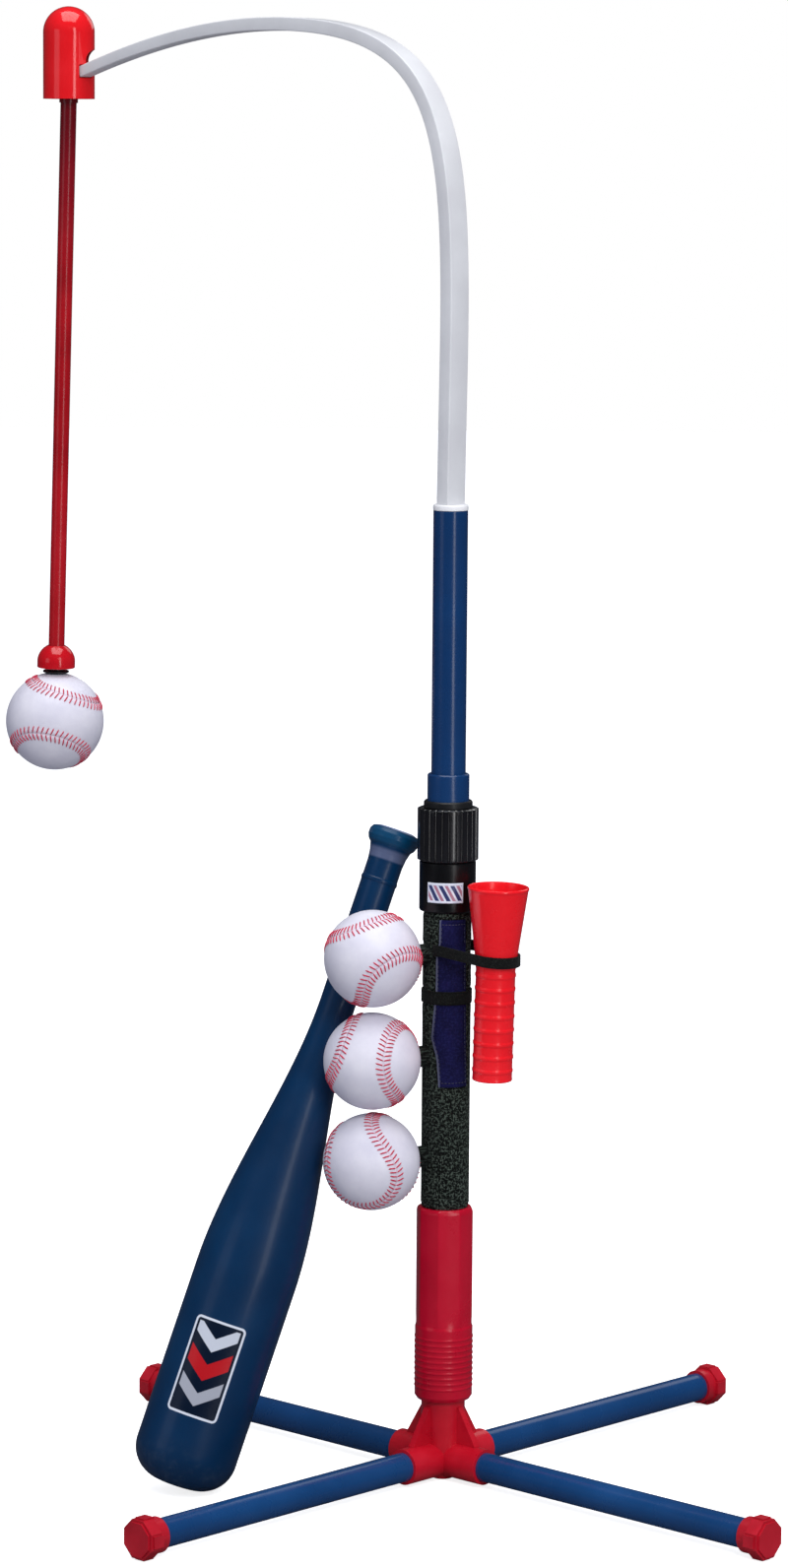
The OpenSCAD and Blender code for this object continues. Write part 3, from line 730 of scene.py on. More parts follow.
TUBE_BLUE = tube_paint("tube_paint", rgb(11, 54, 100), rgb(14, 60, 110), rgb(22, 72, 126))
UPPER_BLUE = tube_paint("upper_tube_paint", rgb(8, 46, 90), rgb(11, 51, 98), rgb(17, 62, 112))
COLLAR_BLACK = plastic("collar_plastic", rgb(5, 5, 7), rgb(9, 9, 12), rgb(20, 21, 25),
                       rough=0.2, coat=0.8, coat_rough=0.12, grain=0.06, scratch=0.04, spec=0.5)
COLLAR_BLACK.set(ior=1.7)
LOWER_BLACK = plastic("lower_collar_plastic", rgb(4, 4, 6), rgb(8, 8, 10), rgb(18, 19, 22),
                      rough=0.3, coat=0.1, grain=0.25, edge=0.15, scratch=0.08, spec=0.35)
MATTE_BLACK = plastic("matte_black_plastic", rgb(12, 12, 13), rgb(22, 23, 25), rgb(48, 49, 52),
                      rough=0.42, coat=0.1, grain=0.5, edge=0.3)
ARM_GREY = plastic("arm_paint", rgb(204, 204, 208), rgb(212, 213, 216), rgb(222, 223, 226),
                   rough=0.38, coat=0.12, grain=0.2, scratch=0.06)
WHITE = plastic("bushing_plastic", rgb(216, 216, 220), rgb(236, 236, 238), rgb(246, 246, 246),
                rough=0.35, coat=0.15, grain=0.3)
STEEL = metal("pin_steel", rgb(200, 202, 206))
COVER_KNIT = knit("cover_knit", rgb(3, 4, 4), rgb(10, 13, 12), rgb(104, 118, 107),
                  fleck_amount=0.72)
PAD_PILE = knit("pad_pile", rgb(5, 6, 6), rgb(13, 16, 15), rgb(80, 92, 84), fleck_amount=0.5,
                r=0.02)
POCKET_KNIT = knit("pocket_knit", rgb(12, 12, 46), rgb(26, 26, 82), rgb(54, 56, 120),
                   fleck_amount=0.3, weave=0.0009, r=0.019, hem=rgb(120, 124, 150))
ELASTIC_SHADES = rgb(8, 9, 9), rgb(24, 26, 25), rgb(60, 64, 60)
CUP_ELASTIC = webbing("cup_strap_elastic", *ELASTIC_SHADES,
                      z0=(CUP_STRAP_Z[0] + CUP_STRAP_RISE - CUP_STRAP_FALL) * MM,
                      z1=(CUP_STRAP_Z[1] + CUP_STRAP_RISE) * MM)
LOWER_ELASTIC = webbing("lower_strap_elastic", *ELASTIC_SHADES,
                        z0=LOWER_STRAP_Z[0] * MM, z1=LOWER_STRAP_Z[1] * MM)
RED_THREAD = thread_yarn("red_thread", rgb(176, 16, 50), rgb(232, 44, 86))
NAVY_THREAD = thread_yarn("navy_thread", rgb(30, 32, 58), rgb(64, 66, 96))
BLACK_THREAD = thread_yarn("black_thread", rgb(20, 20, 22), rgb(58, 60, 60))
LEATHER = leather("ball_leather")
BAT_NAVY = bat_paint()
LABEL_PRINT = label_print()


# ------------------------------------------------------------------ CAD nodes that stay
def dress(name, material, bevel, segments=2):
    """Rounds a CAD node's edges with modifiers and gives it its material."""
    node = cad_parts[name]
    mesh = node.data
    if "custom_normal" in mesh.attributes:
        mesh.attributes.remove(mesh.attributes["custom_normal"])
    mesh.materials.clear()
    mesh.materials.append(material.data)
    mesh.polygons.foreach_set("use_smooth", [True] * len(mesh.polygons))
    weld = node.modifiers.new("weld", "WELD")
    weld.merge_threshold = 2e-6
    rounding = node.modifiers.new("bevel", "BEVEL")
    rounding.width = bevel * MM
    rounding.segments = segments
    rounding.limit_method = "ANGLE"
    rounding.angle_limit = radians(32)
    rounding.harden_normals = False
    rounding.use_clamp_overlap = True
    normals = node.modifiers.new("normals", "WEIGHTED_NORMAL")
    normals.weight = 60
    normals.keep_sharp = False
    mesh.update()


dress("base_hub", HUB_RED, bevel=0.9, segments=3)
for leg in ("front_left", "front_right", "back_left", "back_right"):
    dress("leg_tube_" + leg, TUBE_BLUE, bevel=0.25)
    dress("leg_cap_" + leg, CAP_RED, bevel=0.6, segments=3)
dress("post_tube", TUBE_BLUE, bevel=0.2)
dress("upper_tube", UPPER_BLUE, bevel=0.25)
dress("tube_guide", MATTE_BLACK, bevel=0.4)
dress("arm_foot", WHITE, bevel=0.3)
dress("swivel_block", MATTE_BLACK, bevel=0.5)
for pin in ("arm_pin", "hood_pin", "rod_pin"):
    dress(pin, STEEL, bevel=0.25)
for pad in ("ball_pad_1", "ball_pad_2", "ball_pad_3"):
    dress(pad, PAD_PILE, bevel=0.3)
dress("hood", HOOD_RED, bevel=0.35, segments=3)
dress("tether_rod", ROD_RED, bevel=0.35)

# Profiles below are (r, z) or (r, z, corner radius).

# ------------------------------------------------------------------ base sleeve
SLEEVE_Z0, SLEEVE_Z1 = 62.05, 210.0
GRIP_RIBS = 10
profile = [
    (POST_FIT, SLEEVE_Z1 - 0.4), (POST_FIT, 100.9), (POST_FIT, SLEEVE_Z0 + 0.4),
    (16.3, SLEEVE_Z0, 0.3), (20.0, SLEEVE_Z0, 0.5), (21.85, SLEEVE_Z0 + 2.9, 0.5),
]
for i in range(GRIP_RIBS):
    z = 72 + i * 38 / (GRIP_RIBS - 1)
    profile += [(21.86, z - 1.15, 0.3), (22.25, z - 0.4, 0.35), (22.25, z + 0.4, 0.35),
                (21.86, z + 1.15, 0.3)]
profile += [
    (21.9, 117.6, 0.8), (21.3, 119.6, 0.8), (21.3, 206.5, 1.0), (20.9, SLEEVE_Z1 - 1.6, 1.0),
    (19.9, SLEEVE_Z1, 0.8), (16.3, SLEEVE_Z1, 0.3),
]


def eight_flats(r, z, azimuth):
    """Eight soft flats above the grip."""
    fade = min(1, max(0, (z - 119.0) / 3)) * min(1, max(0, (r - 19.5) / 1.2))
    off_middle = (azimuth + radians(59.2)) % radians(45) - radians(22.5)
    return r + fade * (0.5 - 21.8 * 0.65 * (1 - cos(radians(22.5)) / cos(off_middle)))


sleeve = lathe("base_sleeve_skin", refine(fillet(profile), 6), SLEEVE_RED, seg=192, closed=True,
               radial=eight_flats)
place(sleeve, "base", "base_sleeve")

# ------------------------------------------------------------------ collar
COLLAR_Z0, COLLAR_Z1 = 436.25, 474.0
profile = [
    (15.8, COLLAR_Z0 + 0.3), (16.1, COLLAR_Z0, 0.2), (20.4, COLLAR_Z0, 0.7),
    (21.2, COLLAR_Z0 + 1.0, 0.7), (21.2, COLLAR_Z1 - 1.1, 0.8), (20.2, COLLAR_Z1, 0.6),
    (18.9, COLLAR_Z1, 0.3), (18.8, 499.4, 0.6), (17.6, 500, 0.3), (16.1, 500, 0.2),
    (15.8, 499.6),
]
collar = lathe("collar_body_skin", refine(fillet(profile), 5), LOWER_BLACK, seg=144,
               closed=True)
place(collar, "base", "collar_body")

COLLAR_RIBS = 28


def collar_ribs(r, z, azimuth):
    """Upright ribs on the outside, fading out at both ends."""
    if r < 19.5:
        return r
    rise = smooth(min(1.0, (0.5 + 0.5 * cos(COLLAR_RIBS * azimuth)) * 3.2))
    fade = min(1, max(0, (z - 474.5) / 0.5)) * min(1, max(0, (513.7 - z) / 0.5))
    return r + 0.25 + 1.0 * rise * fade


profile = [
    (18.9, 474.2), (20.8, 474.2, 0.5), (21.65, 475.0, 0.6), (21.65, 513.2, 0.6),
    (20.9, 514.0, 0.4), (16.2, 514.0, 0.2), (POST_FIT, 513.6), (POST_FIT, 501.8),
    (16.2, 501.5, 0.2), (18.5, 501.5, 0.2), (18.9, 501.0),
]
twist_collar = lathe("twist_collar_skin", refine(fillet(profile), 2.4), COLLAR_BLACK,
                     seg=COLLAR_RIBS * 16, closed=True, radial=collar_ribs, sharp=50)
place(twist_collar, "collar", "twist_collar")

profile = [
    (POST_FIT, 514.3), (16.0, 514.1, 0.1), (18.0, 514.1, 0.3), (18.3, 514.5, 0.3),
    (18.3, 518.2, 0.6), (17.4, 519.3, 0.5), (16.1, 519.3, 0.2), (POST_FIT, 519.0),
]
collar_ring = lathe("collar_ring_skin", fillet(profile), MATTE_BLACK, closed=True)
place(collar_ring, "collar", "collar_ring")

profile = [
    (12.97, 470.2), (13.1, 470, 0.1), (14.3, 470, 0.2), (14.4, 471), (14.4, 505.1),
    (15.7, 505.1, 0.2), (15.7, 538.4, 0.5), (14.7, 539.4, 0.5), (13.3, 539.4, 0.3),
    (12.97, 539.0),
]
collet = lathe("clamp_collet_skin", refine(fillet(profile), 6), UPPER_BLUE, closed=True)
place(collet, "base", "clamp_collet")


def build_label(cols=120, rows=64):
    """A thin curved plate on the collar, with a raised rim."""
    start, end = (radians(a) for a in LABEL_AZIMUTHS)
    z0, z1 = LABEL_Z
    outer, inner = np.zeros((rows, cols, 3)), np.zeros((rows, cols, 3))
    for j in range(rows):
        for i in range(cols):
            a = start + (end - start) * i / (cols - 1)
            z = z0 + (z1 - z0) * j / (rows - 1)
            from_edge = min(min(a - start, end - a) * LABEL_R, z - z0, z1 - z)
            if from_edge < 0.25:
                r = 21.45 + 0.35 * (from_edge / 0.25)
            else:
                r = LABEL_R + (0.1 if from_edge < 1.4 else 0.0)
            outer[j, i] = polar(r, a, z)
            inner[j, i] = polar(21.25, a, z)
    label = grid_solid("collar_label_plate", outer, inner, LABEL_PRINT)
    place(label, "base", "collar_label")


build_label()


# ------------------------------------------------------------------ arm
def bezier(controls, t):
    a, b, c, d = controls
    return (1 - t) ** 3 * a + 3 * (1 - t) ** 2 * t * b + 3 * (1 - t) * t * t * c + t ** 3 * d


def build_arm():
    """A bar that stands on the z axis, bends over towards -X and narrows to its tip."""
    # centre line as (reach towards -X, z): two straight runs, the bend and the falling end
    bend = (-1.5, -5, 4, 190), (832, 1025, 1095, 1095)
    end = (190, 262, 335, 404), (1095, 1095, 1079.7, 1058.1)
    line = [(0, 650.0 + 95 * k / 8) for k in range(8)]
    line += [(-1.5 * k / 7, 745 + 87 * k / 7) for k in range(7)]
    line += [tuple(bezier(axis, k / 56) for axis in bend) for k in range(57)]
    line += [tuple(bezier(axis, k / 30) for axis in end) for k in range(1, 30)]
    line = [point for point in line if point[0] <= 403.2]
    path = [Vector((-reach, 0, z)) for reach, z in line]
    foot_w, tip_w, foot_t, tip_t, corner = 19.4, 12, 11.4, 8.4, 0.9
    sections = []
    for reach, _ in line:
        width = foot_w + (tip_w - foot_w) * reach / 412
        thickness = foot_t + (tip_t - foot_t) * reach / 404
        sections.append(rounded_rect(width, thickness, corner))
    # rounded tip: distance past the end, scale of the section
    tip, direction = path[-1].copy(), (path[-1] - path[-2]).normalized()
    for past, scale in ((0.9, 0.97), (1.6, 0.9), (2.1, 0.78)):
        path.append(tip + direction * past)
        sections.append([(w * scale, t * scale) for w, t in rounded_rect(12.1, tip_t, corner)])
    arm = sweep("arm_bar_skin", path, sections, Vector((0, 1, 0)), ARM_GREY)
    place(arm, "arm", "arm_bar")


build_arm()


# ------------------------------------------------------------------ arm bushing
def build_bushing(seg=112):
    """A flanged ring with the bar's rounded slot through it, thin along X and wide along Y."""
    azimuths = [2 * pi * k / seg for k in range(seg)]

    def circle(r, z):
        return [polar(r, a, z) for a in azimuths]

    def slot(z, grow=0.0):
        """The slot's outline, sampled at the circles' azimuths."""
        half_x, half_y, corner = 5.75 + grow, 9.75 + grow, 1.6
        points = []
        for a in azimuths:
            dx, dy = cos(a), sin(a)
            r = min(half_x / abs(dx) if abs(dx) > 1e-9 else 1e9,
                    half_y / abs(dy) if abs(dy) > 1e-9 else 1e9)
            x, y = dx * r, dy * r
            if abs(x) > half_x - corner and abs(y) > half_y - corner:
                # meet the corner's circle instead
                cx, cy = math.copysign(half_x - corner, x), math.copysign(half_y - corner, y)
                along = dx * cx + dy * cy
                r = along + sqrt(along * along - (cx * cx + cy * cy - corner * corner))
            points.append((dx * r, dy * r, z))
        return points

    # outer circles from the bottom up: radius, z
    outline = (
        (11.3, 700), (11.62, 700.4), (11.62, 735.9), (12.7, 736.05), (13.1, 736.4),
        (13.15, 737.2), (13.15, 739.0), (12.95, 739.9), (12.4, 740.4), (12.0, 740.45),
    )
    rings = [slot(700.3)] + [circle(r, z) for r, z in outline]
    rings += [slot(740.45, grow=0.35), slot(740.1)]
    verts = [[c * MM for c in point] for ring in rings for point in ring]
    faces = loft(number_loops(len(rings), seg), closed=True)
    bushing = make_solid("arm_bushing_skin", verts, faces, WHITE, sharp=40)
    place(bushing, "arm", "arm_bushing")


build_bushing()

# ------------------------------------------------------------------ stopper and washer
STOPPER_Z = -(TETHER_BALL_DROP - TETHER_BALL_R - 4.1)  # its lower face, just above the ball
STEM_R = 4.0  # runs from above the stopper down into the ball
profile = [
    (0, STOPPER_Z + 40), (3.6, STOPPER_Z + 40, 0.3), (STEM_R, STOPPER_Z + 39.4),
    (STEM_R, STOPPER_Z + 14.0), (4.5, STOPPER_Z + 13.95, 0.1), (5.0, STOPPER_Z + 13.95),
    (7.0, STOPPER_Z + 13.9, 0.4),
]
for k in range(9):
    # the dome
    a = radians(62 - 60 * k / 8)
    profile.append((15.3 * cos(a) if k < 8 else 15.2, STOPPER_Z + 4.6 + 15.4 * sin(a) * 0.98))
profile += [
    (15.2, STOPPER_Z + 4.4), (15.2, STOPPER_Z + 0.3, 0.3), (14.8, STOPPER_Z, 0.2),
    (11.0, STOPPER_Z), (4.3, STOPPER_Z, 0.2), (STEM_R, STOPPER_Z - 0.3),
    (STEM_R, -TETHER_BALL_DROP - 11.6), (3.6, -TETHER_BALL_DROP - 12, 0.2),
    (0, -TETHER_BALL_DROP - 12),
]
stopper = lathe("rod_stopper_skin", refine(fillet(profile), 3), STOPPER_RED, placing=ROD_FRAME,
                sharp=42)
place(stopper, "rod", "rod_stopper")

# washer: radius, z from the stopper's lower face, corner radius
WASHER = (
    (4.07, -3.8, 0), (4.4, -4.0, 0.1), (10.1, -4.0, 0.3), (10.5, -3.5, 0.3), (10.5, -2.8, 0.3),
    (10.0, -2.3, 0.3), (7.2, -2.3, 0.4), (6.8, -1.9, 0.2), (6.8, -0.3, 0.2), (6.6, -0.1, 0),
    (4.4, -0.1, 0.1), (4.07, -0.3, 0),
)
profile = fillet([(r, STOPPER_Z + z, corner) for r, z, corner in WASHER], steps=3)
washer = lathe("ball_washer_skin", profile, MATTE_BLACK, seg=96, closed=True, placing=ROD_FRAME)
place(washer, "rod", "ball_washer")

# ------------------------------------------------------------------ tee cup
CUP_TOP = 459.5
CUP_FRAME = (
    Matrix.Translation(Vector((51.6, 0, CUP_TOP)) * MM)
    @ Matrix.Rotation(radians(1.8), 4, "Y")
    @ Matrix.Translation(Vector((0, 0, -CUP_TOP)) * MM)
)
profile = [(13.0, 313.6), (13.4, 313.0, 0.3), (14.6, 313.0, 0.5), (15.1, 313.7, 0.4),
           (14.9, 315.4, 0.4)]
for i in range(8):
    # rings round the stem
    z = 321 + 10.3 * i
    profile += [(14.85, z - 2.0, 0.8), (15.35, z - 0.7, 0.6), (15.35, z + 0.7, 0.6),
                (14.85, z + 2.0, 0.8)]
profile += [
    (14.85, 397.0, 1.5), (16.0, 404.0, 1.6), (16.2, 409.0, 1.8), (22.4, 456.4, 0.8),
    (23.0, 457.8, 0.6), (22.9, 459.0, 0.5), (21.9, CUP_TOP, 0.5), (21.1, 459.2, 0.5),
    (20.6, 457.0, 0.6), (14.0, 412.0, 2.0), (9.0, 409.4, 0.8), (8.0, 408.6, 0.6),
    (8.0, 402.2, 0.3), (13.0, 402.0, 0.4),
]
cup = lathe("tee_cup_skin", refine(fillet(profile), 4), CUP_RED, seg=144, closed=True,
            placing=CUP_FRAME, sharp=42)
place(cup, "cup", "tee_cup")

# ------------------------------------------------------------------ bat
HANDLE_R = 13.6
TAPER_START, TAPER_LENGTH = 136.8, 217.9  # down the bat
END_START, END_R = 492.9, 25.9  # where the end starts to round, and its corner's radius
profile = [
    (0, -9.3), (4.5, -9.3), (4.5, -0.6), (4.9, -0.1, 0.2), (13.0, -0.05, 2.0),
    (17.6, -1.6, 2.2), (19.3, -4.6, 2.2), (19.4, -8.6, 2.0), (18.1, -12.0, 1.4),
    (15.9, -14.4, 2.0), (14.4, -20.0, 4.0), (HANDLE_R, -27.0, 4.0), (HANDLE_R, -38.9, 0.3),
    (14.1, -39.7, 0.4), (14.1, -41.7, 0.4), (HANDLE_R, -42.5, 0.3), (HANDLE_R, -90.0),
    (HANDLE_R, -TAPER_START),
]
for i in range(1, 65):
    down = TAPER_START + TAPER_LENGTH * i / 64
    widening = smooth((down - TAPER_START) / TAPER_LENGTH)
    profile.append((HANDLE_R + (BARREL_R - HANDLE_R) * widening, -down))
profile += [(BARREL_R, -424.0), (BARREL_R, -END_START)]
for i in range(1, 17):
    a = radians(90 * i / 16)
    profile.append((BARREL_R - END_R + END_R * cos(a), -END_START - END_R * sin(a)))
profile += [(6.5, -END_START - END_R), (0, -END_START - END_R)]
bat = lathe("bat_shell_skin", refine(fillet(profile, steps=5), 6), BAT_NAVY, seg=160,
            placing=BAT_FRAME, sharp=50)
place(bat, "bat", "bat_shell")

profile = [(0, -0.9), (3.6, -0.9, 0.2), (4.4, -1.4, 0.3), (4.45, -9.2), (0, -9.2)]
plug = lathe("bat_plug_skin", fillet(profile, steps=3), MATTE_BLACK, seg=64, placing=BAT_FRAME,
             sharp=40)
place(plug, "bat", "bat_plug")


# ------------------------------------------------------------------ balls
def unit(points):
    return points / np.linalg.norm(points, axis=1)[:, None]


def seam_curve(t):
    """The seam of a two-piece cover on the unit sphere, for t from 0 to 4 pi."""
    swing = 0.44
    polar_angle = pi / 2 - (pi / 2 - swing) * np.cos(t)
    azimuth = t / 2 + swing * np.sin(2 * t)
    return np.stack([np.sin(polar_angle) * np.cos(azimuth),
                     np.sin(polar_angle) * np.sin(azimuth), np.cos(polar_angle)], -1)


def even_seam(count):
    """Evenly spaced points on the seam, and the seam's direction at each."""
    t = np.linspace(0, 4 * pi, 8001)
    gaps = np.linalg.norm(np.diff(seam_curve(t), axis=0), axis=1)
    run = np.concatenate([[0], np.cumsum(gaps)])
    even = np.interp(np.linspace(0, run[-1], count, endpoint=False), run, t)
    points = unit(seam_curve(even))
    return points, unit(unit(seam_curve(even + 1e-3)) - points)


def quad_sphere(n):
    """A cube blown up to a unit sphere with nearly even cells, n along each edge."""
    numbers, verts, faces = {}, [], []
    spacing = np.tan(np.linspace(-pi / 4, pi / 4, n + 1))
    for axis in range(3):
        for sign in (-1, 1):
            ids = np.zeros((n + 1, n + 1), int)
            for i in range(n + 1):
                for j in range(n + 1):
                    point = [0, 0, 0]
                    point[axis] = sign
                    point[(axis + 1) % 3] = spacing[i]
                    point[(axis + 2) % 3] = spacing[j]
                    point = np.array(point) / np.linalg.norm(point)
                    key = tuple(np.round(point, 6))
                    if key not in numbers:
                        numbers[key] = len(verts)
                        verts.append(point)
                    ids[i, j] = numbers[key]
            for i in range(n):
                for j in range(n):
                    face = (ids[i, j], ids[i + 1, j], ids[i + 1, j + 1], ids[i, j + 1])
                    faces.append(face if sign > 0 else face[::-1])
    return np.array(verts), faces


SPHERE_VERTS, SPHERE_FACES = quad_sphere(84)
SEAM_POINTS, _ = even_seam(900)
# angle from each sphere point to the seam, worked out in blocks to save memory
SEAM_ANGLE = np.zeros(len(SPHERE_VERTS))
BLOCK = 4000
for k in range(0, len(SPHERE_VERTS), BLOCK):
    nearest = (SPHERE_VERTS[k:k + BLOCK] @ SEAM_POINTS.T).max(1)
    SEAM_ANGLE[k:k + BLOCK] = np.arccos(np.clip(nearest, -1, 1))
STITCHES = 116  # places along the seam, each with a thread on both sides


def build_ball(name, centre, r, turn, body, node, hung=False):
    """A stitched ball. turn is its Euler angles in degrees.

    A hung ball is flattened on top under the washer, and has no stitches there.
    """
    rotation = np.array(Euler([radians(a) for a in turn], "XYZ").to_matrix())
    rod_axes = np.array(Matrix.Rotation(ROD_TILT, 3, "Y"))
    flat_z, stitch_limit_z = 39.3, 38.9  # in the rod's frame, from the ball's centre
    # a groove at the seam with a soft ridge on each side
    from_seam = SEAM_ANGLE * r
    ridge = 0.28 * np.exp(-((from_seam - 2.2) / 1.6) ** 2)
    groove = 0.75 * np.exp(-(from_seam / 0.55) ** 2)
    verts = (SPHERE_VERTS * (r + ridge - groove - 0.12)[:, None]) @ rotation.T
    if hung:
        local = verts @ rod_axes
        local[:, 2] = np.minimum(local[:, 2], flat_z)
        verts = local @ rod_axes.T
    threads = []
    for point, along in zip(*even_seam(STITCHES)):
        side = np.cross(point, along)
        for sign in (-1, 1):
            start = point * (r + 0.02) - along * 0.9 + side * sign * 0.15
            outer = point + (side * sign * 6.0 + along * 0.9) / r
            outer /= np.linalg.norm(outer)
            up = point + outer
            up /= np.linalg.norm(up)
            thread_verts, faces = thread(start, outer * r, up, radius=0.54, bow=0.36)
            thread_verts = np.array([list(v) for v in thread_verts]) @ rotation.T
            if hung and (thread_verts @ rod_axes)[:, 2].max() > stitch_limit_z:
                continue
            threads.append(((thread_verts + np.array(centre)) * MM, faces))
    ball = make_object(name, (verts + np.array(centre)) * MM, SPHERE_FACES, LEATHER)
    # 1 on the seam, falling to 0 at 5.2 mm from it
    seam = np.clip(1 - from_seam / 5.2, 0, 1).astype(np.float32)
    ball.data.attributes.new("seam", "FLOAT", "POINT").data.foreach_set("value", seam)
    place(ball, body, node)
    place(join(name + "_stitches", threads, RED_THREAD), body)


BALL_TURNS = ((127.5, 8.8, -97.2), (41.9, 8.2, 27.3), (-8.7, -21.9, 23.5))
for number, (z, turn) in enumerate(zip(BALL_HEIGHTS, BALL_TURNS), 1):
    build_ball(f"ball_{number}_cover", polar(BALL_OUT, BALL_AZIMUTH, z), STORED_BALL_R, turn,
               f"stored_ball_{number}", f"ball_{number}")
tether_centre = ROD_FRAME @ Vector((0, 0, -TETHER_BALL_DROP * MM))
build_ball("tether_ball_cover", [c / MM for c in tether_centre], TETHER_BALL_R,
           (-58.8, 69.1, -88.5), "swing_ball", "tether_ball", hung=True)

# ------------------------------------------------------------------ knitted cover
COVER_Z0, COVER_Z1 = 210.3, 436.0
COVER_COLS, COVER_ROWS = ((96, 150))
COVER_BANDS = ((364.5, 379), (398, 413))  # where the straps press on the cover


def cover_z(row):
    return COVER_Z0 + (COVER_Z1 - COVER_Z0) * row / (COVER_ROWS - 1)


def simulate_cover():
    """A loose knit tube settles in folds on the post, held at its ends and under the straps.

    Returns its points in mm as [row][column].
    """
    verts = []
    for j in range(COVER_ROWS):
        for i in range(COVER_COLS):
            a = 2 * pi * i / COVER_COLS
            z = cover_z(j)
            r = 16.75 + 0.05 * sin(5 * a + z * 0.11) + 0.05 * sin(3 * a - z * 0.07)
            verts.append([c * MM for c in polar(r, a, z)])
    loops = number_loops(COVER_ROWS, COVER_COLS)
    cloth = make_object("cover_sim", verts, loft(loops))
    held = cloth.vertex_groups.new(name="pin")
    held.add([*loops[0], *loops[-1]], 1.0, "REPLACE")
    for strap_z in (405.5, 371.8):
        rows = [j for j in range(COVER_ROWS) if abs(cover_z(j) - strap_z) < 5.5]
        held.add([k for j in rows for k in loops[j]], 0.9, "REPLACE")
    bpy.ops.mesh.primitive_cylinder_add(vertices=96, radius=POST_FIT * MM, depth=0.26,
                                        location=(0, 0, 0.323))
    post = bpy.context.object
    post.modifiers.new("hit", "COLLISION")
    post.collision.thickness_outer = 0.0003
    modifier = cloth.modifiers.new("cloth", "CLOTH")
    settings = modifier.settings
    settings.quality = 6
    settings.mass = 0.25
    settings.tension_stiffness = settings.compression_stiffness = 18
    settings.shear_stiffness = 6
    settings.bending_stiffness = 0.08
    settings.vertex_group_mass = "pin"
    # a negative shrink makes the cloth grow into folds
    settings.shrink_min = settings.shrink_max = -0.045
    modifier.collision_settings.distance_min = 0.0004
    modifier.collision_settings.collision_quality = 3
    modifier.point_cache.frame_start, modifier.point_cache.frame_end = 1, 26
    for number in range(1, 25):
        scene.frame_set(number)
    settled = cloth.evaluated_get(bpy.context.evaluated_depsgraph_get())
    points = np.zeros(len(settled.data.vertices) * 3)
    settled.data.vertices.foreach_get("co", points)
    points = points.reshape(COVER_ROWS, COVER_COLS, 3) / MM
    bpy.data.objects.remove(cloth)
    bpy.data.objects.remove(post)
    scene.frame_set(1)
    return points


POCKET_Z0, POCKET_Z1, POCKET_W = 304, 431, 26
POCKET_H = POCKET_Z1 - POCKET_Z0
# left edge: z, azimuth in degrees; it bulges below the lower strap
LEFT_EDGE = (
    (304, -65), (322, -69), (328, -72), (331, -75), (341, -85), (356, -80.5), (377, -73.5),
    (406, -73), (413, -66), (431, -65),
)
RIGHT_EDGE = ((POCKET_Z0, 8.5), (POCKET_Z1, 0.5))


def edge_azimuth(edge, z):
    return radians(float(np.interp(z, *zip(*edge))))


def over_pocket(azimuth, z, margin=radians(6)):
    left, right = edge_azimuth(LEFT_EDGE, z), edge_azimuth(RIGHT_EDGE, z)
    rise = margin * 18
    return (left - margin < azimuth < right + margin
            and POCKET_Z0 - rise < z < POCKET_Z1 + rise)


def cover_radius(r, azimuth, z):
    """Outer radius of the knit: the settled one, kept under what lies on it."""
    limit = 18.3
    if over_pocket(azimuth, z):
        limit = 17.95
    if in_bands(z, COVER_BANDS):
        limit = 17.85
    for ball_z in BALL_HEIGHTS:
        if math.hypot((azimuth - BALL_AZIMUTH) * 18, z - ball_z) < 10:
            limit = min(limit, 17.95)
    from_end = min(z - COVER_Z0, COVER_Z1 - z)
    if from_end < 3:
        limit = min(limit, 17.3 + 0.25 * from_end)
    return min(limit, max(16.95, r + 0.55))


def build_cover():
    outer = simulate_cover()
    inner = np.zeros_like(outer)
    for row in range(COVER_ROWS):
        for col in range(COVER_COLS):
            x, y, z = outer[row, col]
            a = atan2(y, x)
            r = cover_radius(math.hypot(x, y), a, z)
            z = min(max(z, COVER_Z0), COVER_Z1)
            outer[row, col] = polar(r, a, z)
            inner[row, col] = polar(15.95, a, z)
    cover = grid_solid("post_cover_knit", outer, inner, COVER_KNIT, wrap=True)
    place(cover, "base", "post_cover")


build_cover()

# upright row of stitches at the back of the cover
SEAM_R, SEAM_AZIMUTH = 18.15, radians(118)
stitches = []
for k in range(66):
    z = 214 + k * 3.35
    stitches.append(post_stitch((SEAM_R, SEAM_AZIMUTH, z), (SEAM_R, SEAM_AZIMUTH, z + 2.3),
                                radius=0.32, bow=0.15, azimuth=SEAM_AZIMUTH))
place(join("cover_seam_stitches", stitches, BLACK_THREAD), "base")


# ------------------------------------------------------------------ pocket panel
POCKET_BANDS = ((365.2, 378.5), (398.5, 412.5))  # where the straps press on the panel


def pocket_radius(u, z):
    """Outer radius of the panel; u runs 0 to 1 from its left edge to its right."""
    v = (z - POCKET_Z0) / POCKET_H
    from_edge = min(u * POCKET_W, (1 - u) * POCKET_W, v * POCKET_H, (1 - v) * POCKET_H)
    if from_edge < 2.6:
        # turned hem
        r = 18.55 + 0.62 * sqrt(max(0, 1 - (1 - from_edge / 2.6) ** 2))
        if from_edge < 0.4:
            r = min(r, 18.5 + from_edge * 0.5)
    elif from_edge < 3.3:
        r = 18.62 + 0.3 * (from_edge - 2.6) / 0.7
    else:
        puff = 0.32 * sin(pi * u) * (0.6 + 0.4 * sin(z * 0.09 + 2 * u))
        r = 18.92 + puff + 0.07 * sin(z * 0.31 + 6 * u) + 0.05 * sin(z * 0.13 - 9 * u)
    return min(r, 18.85) if in_bands(z, POCKET_BANDS) else r


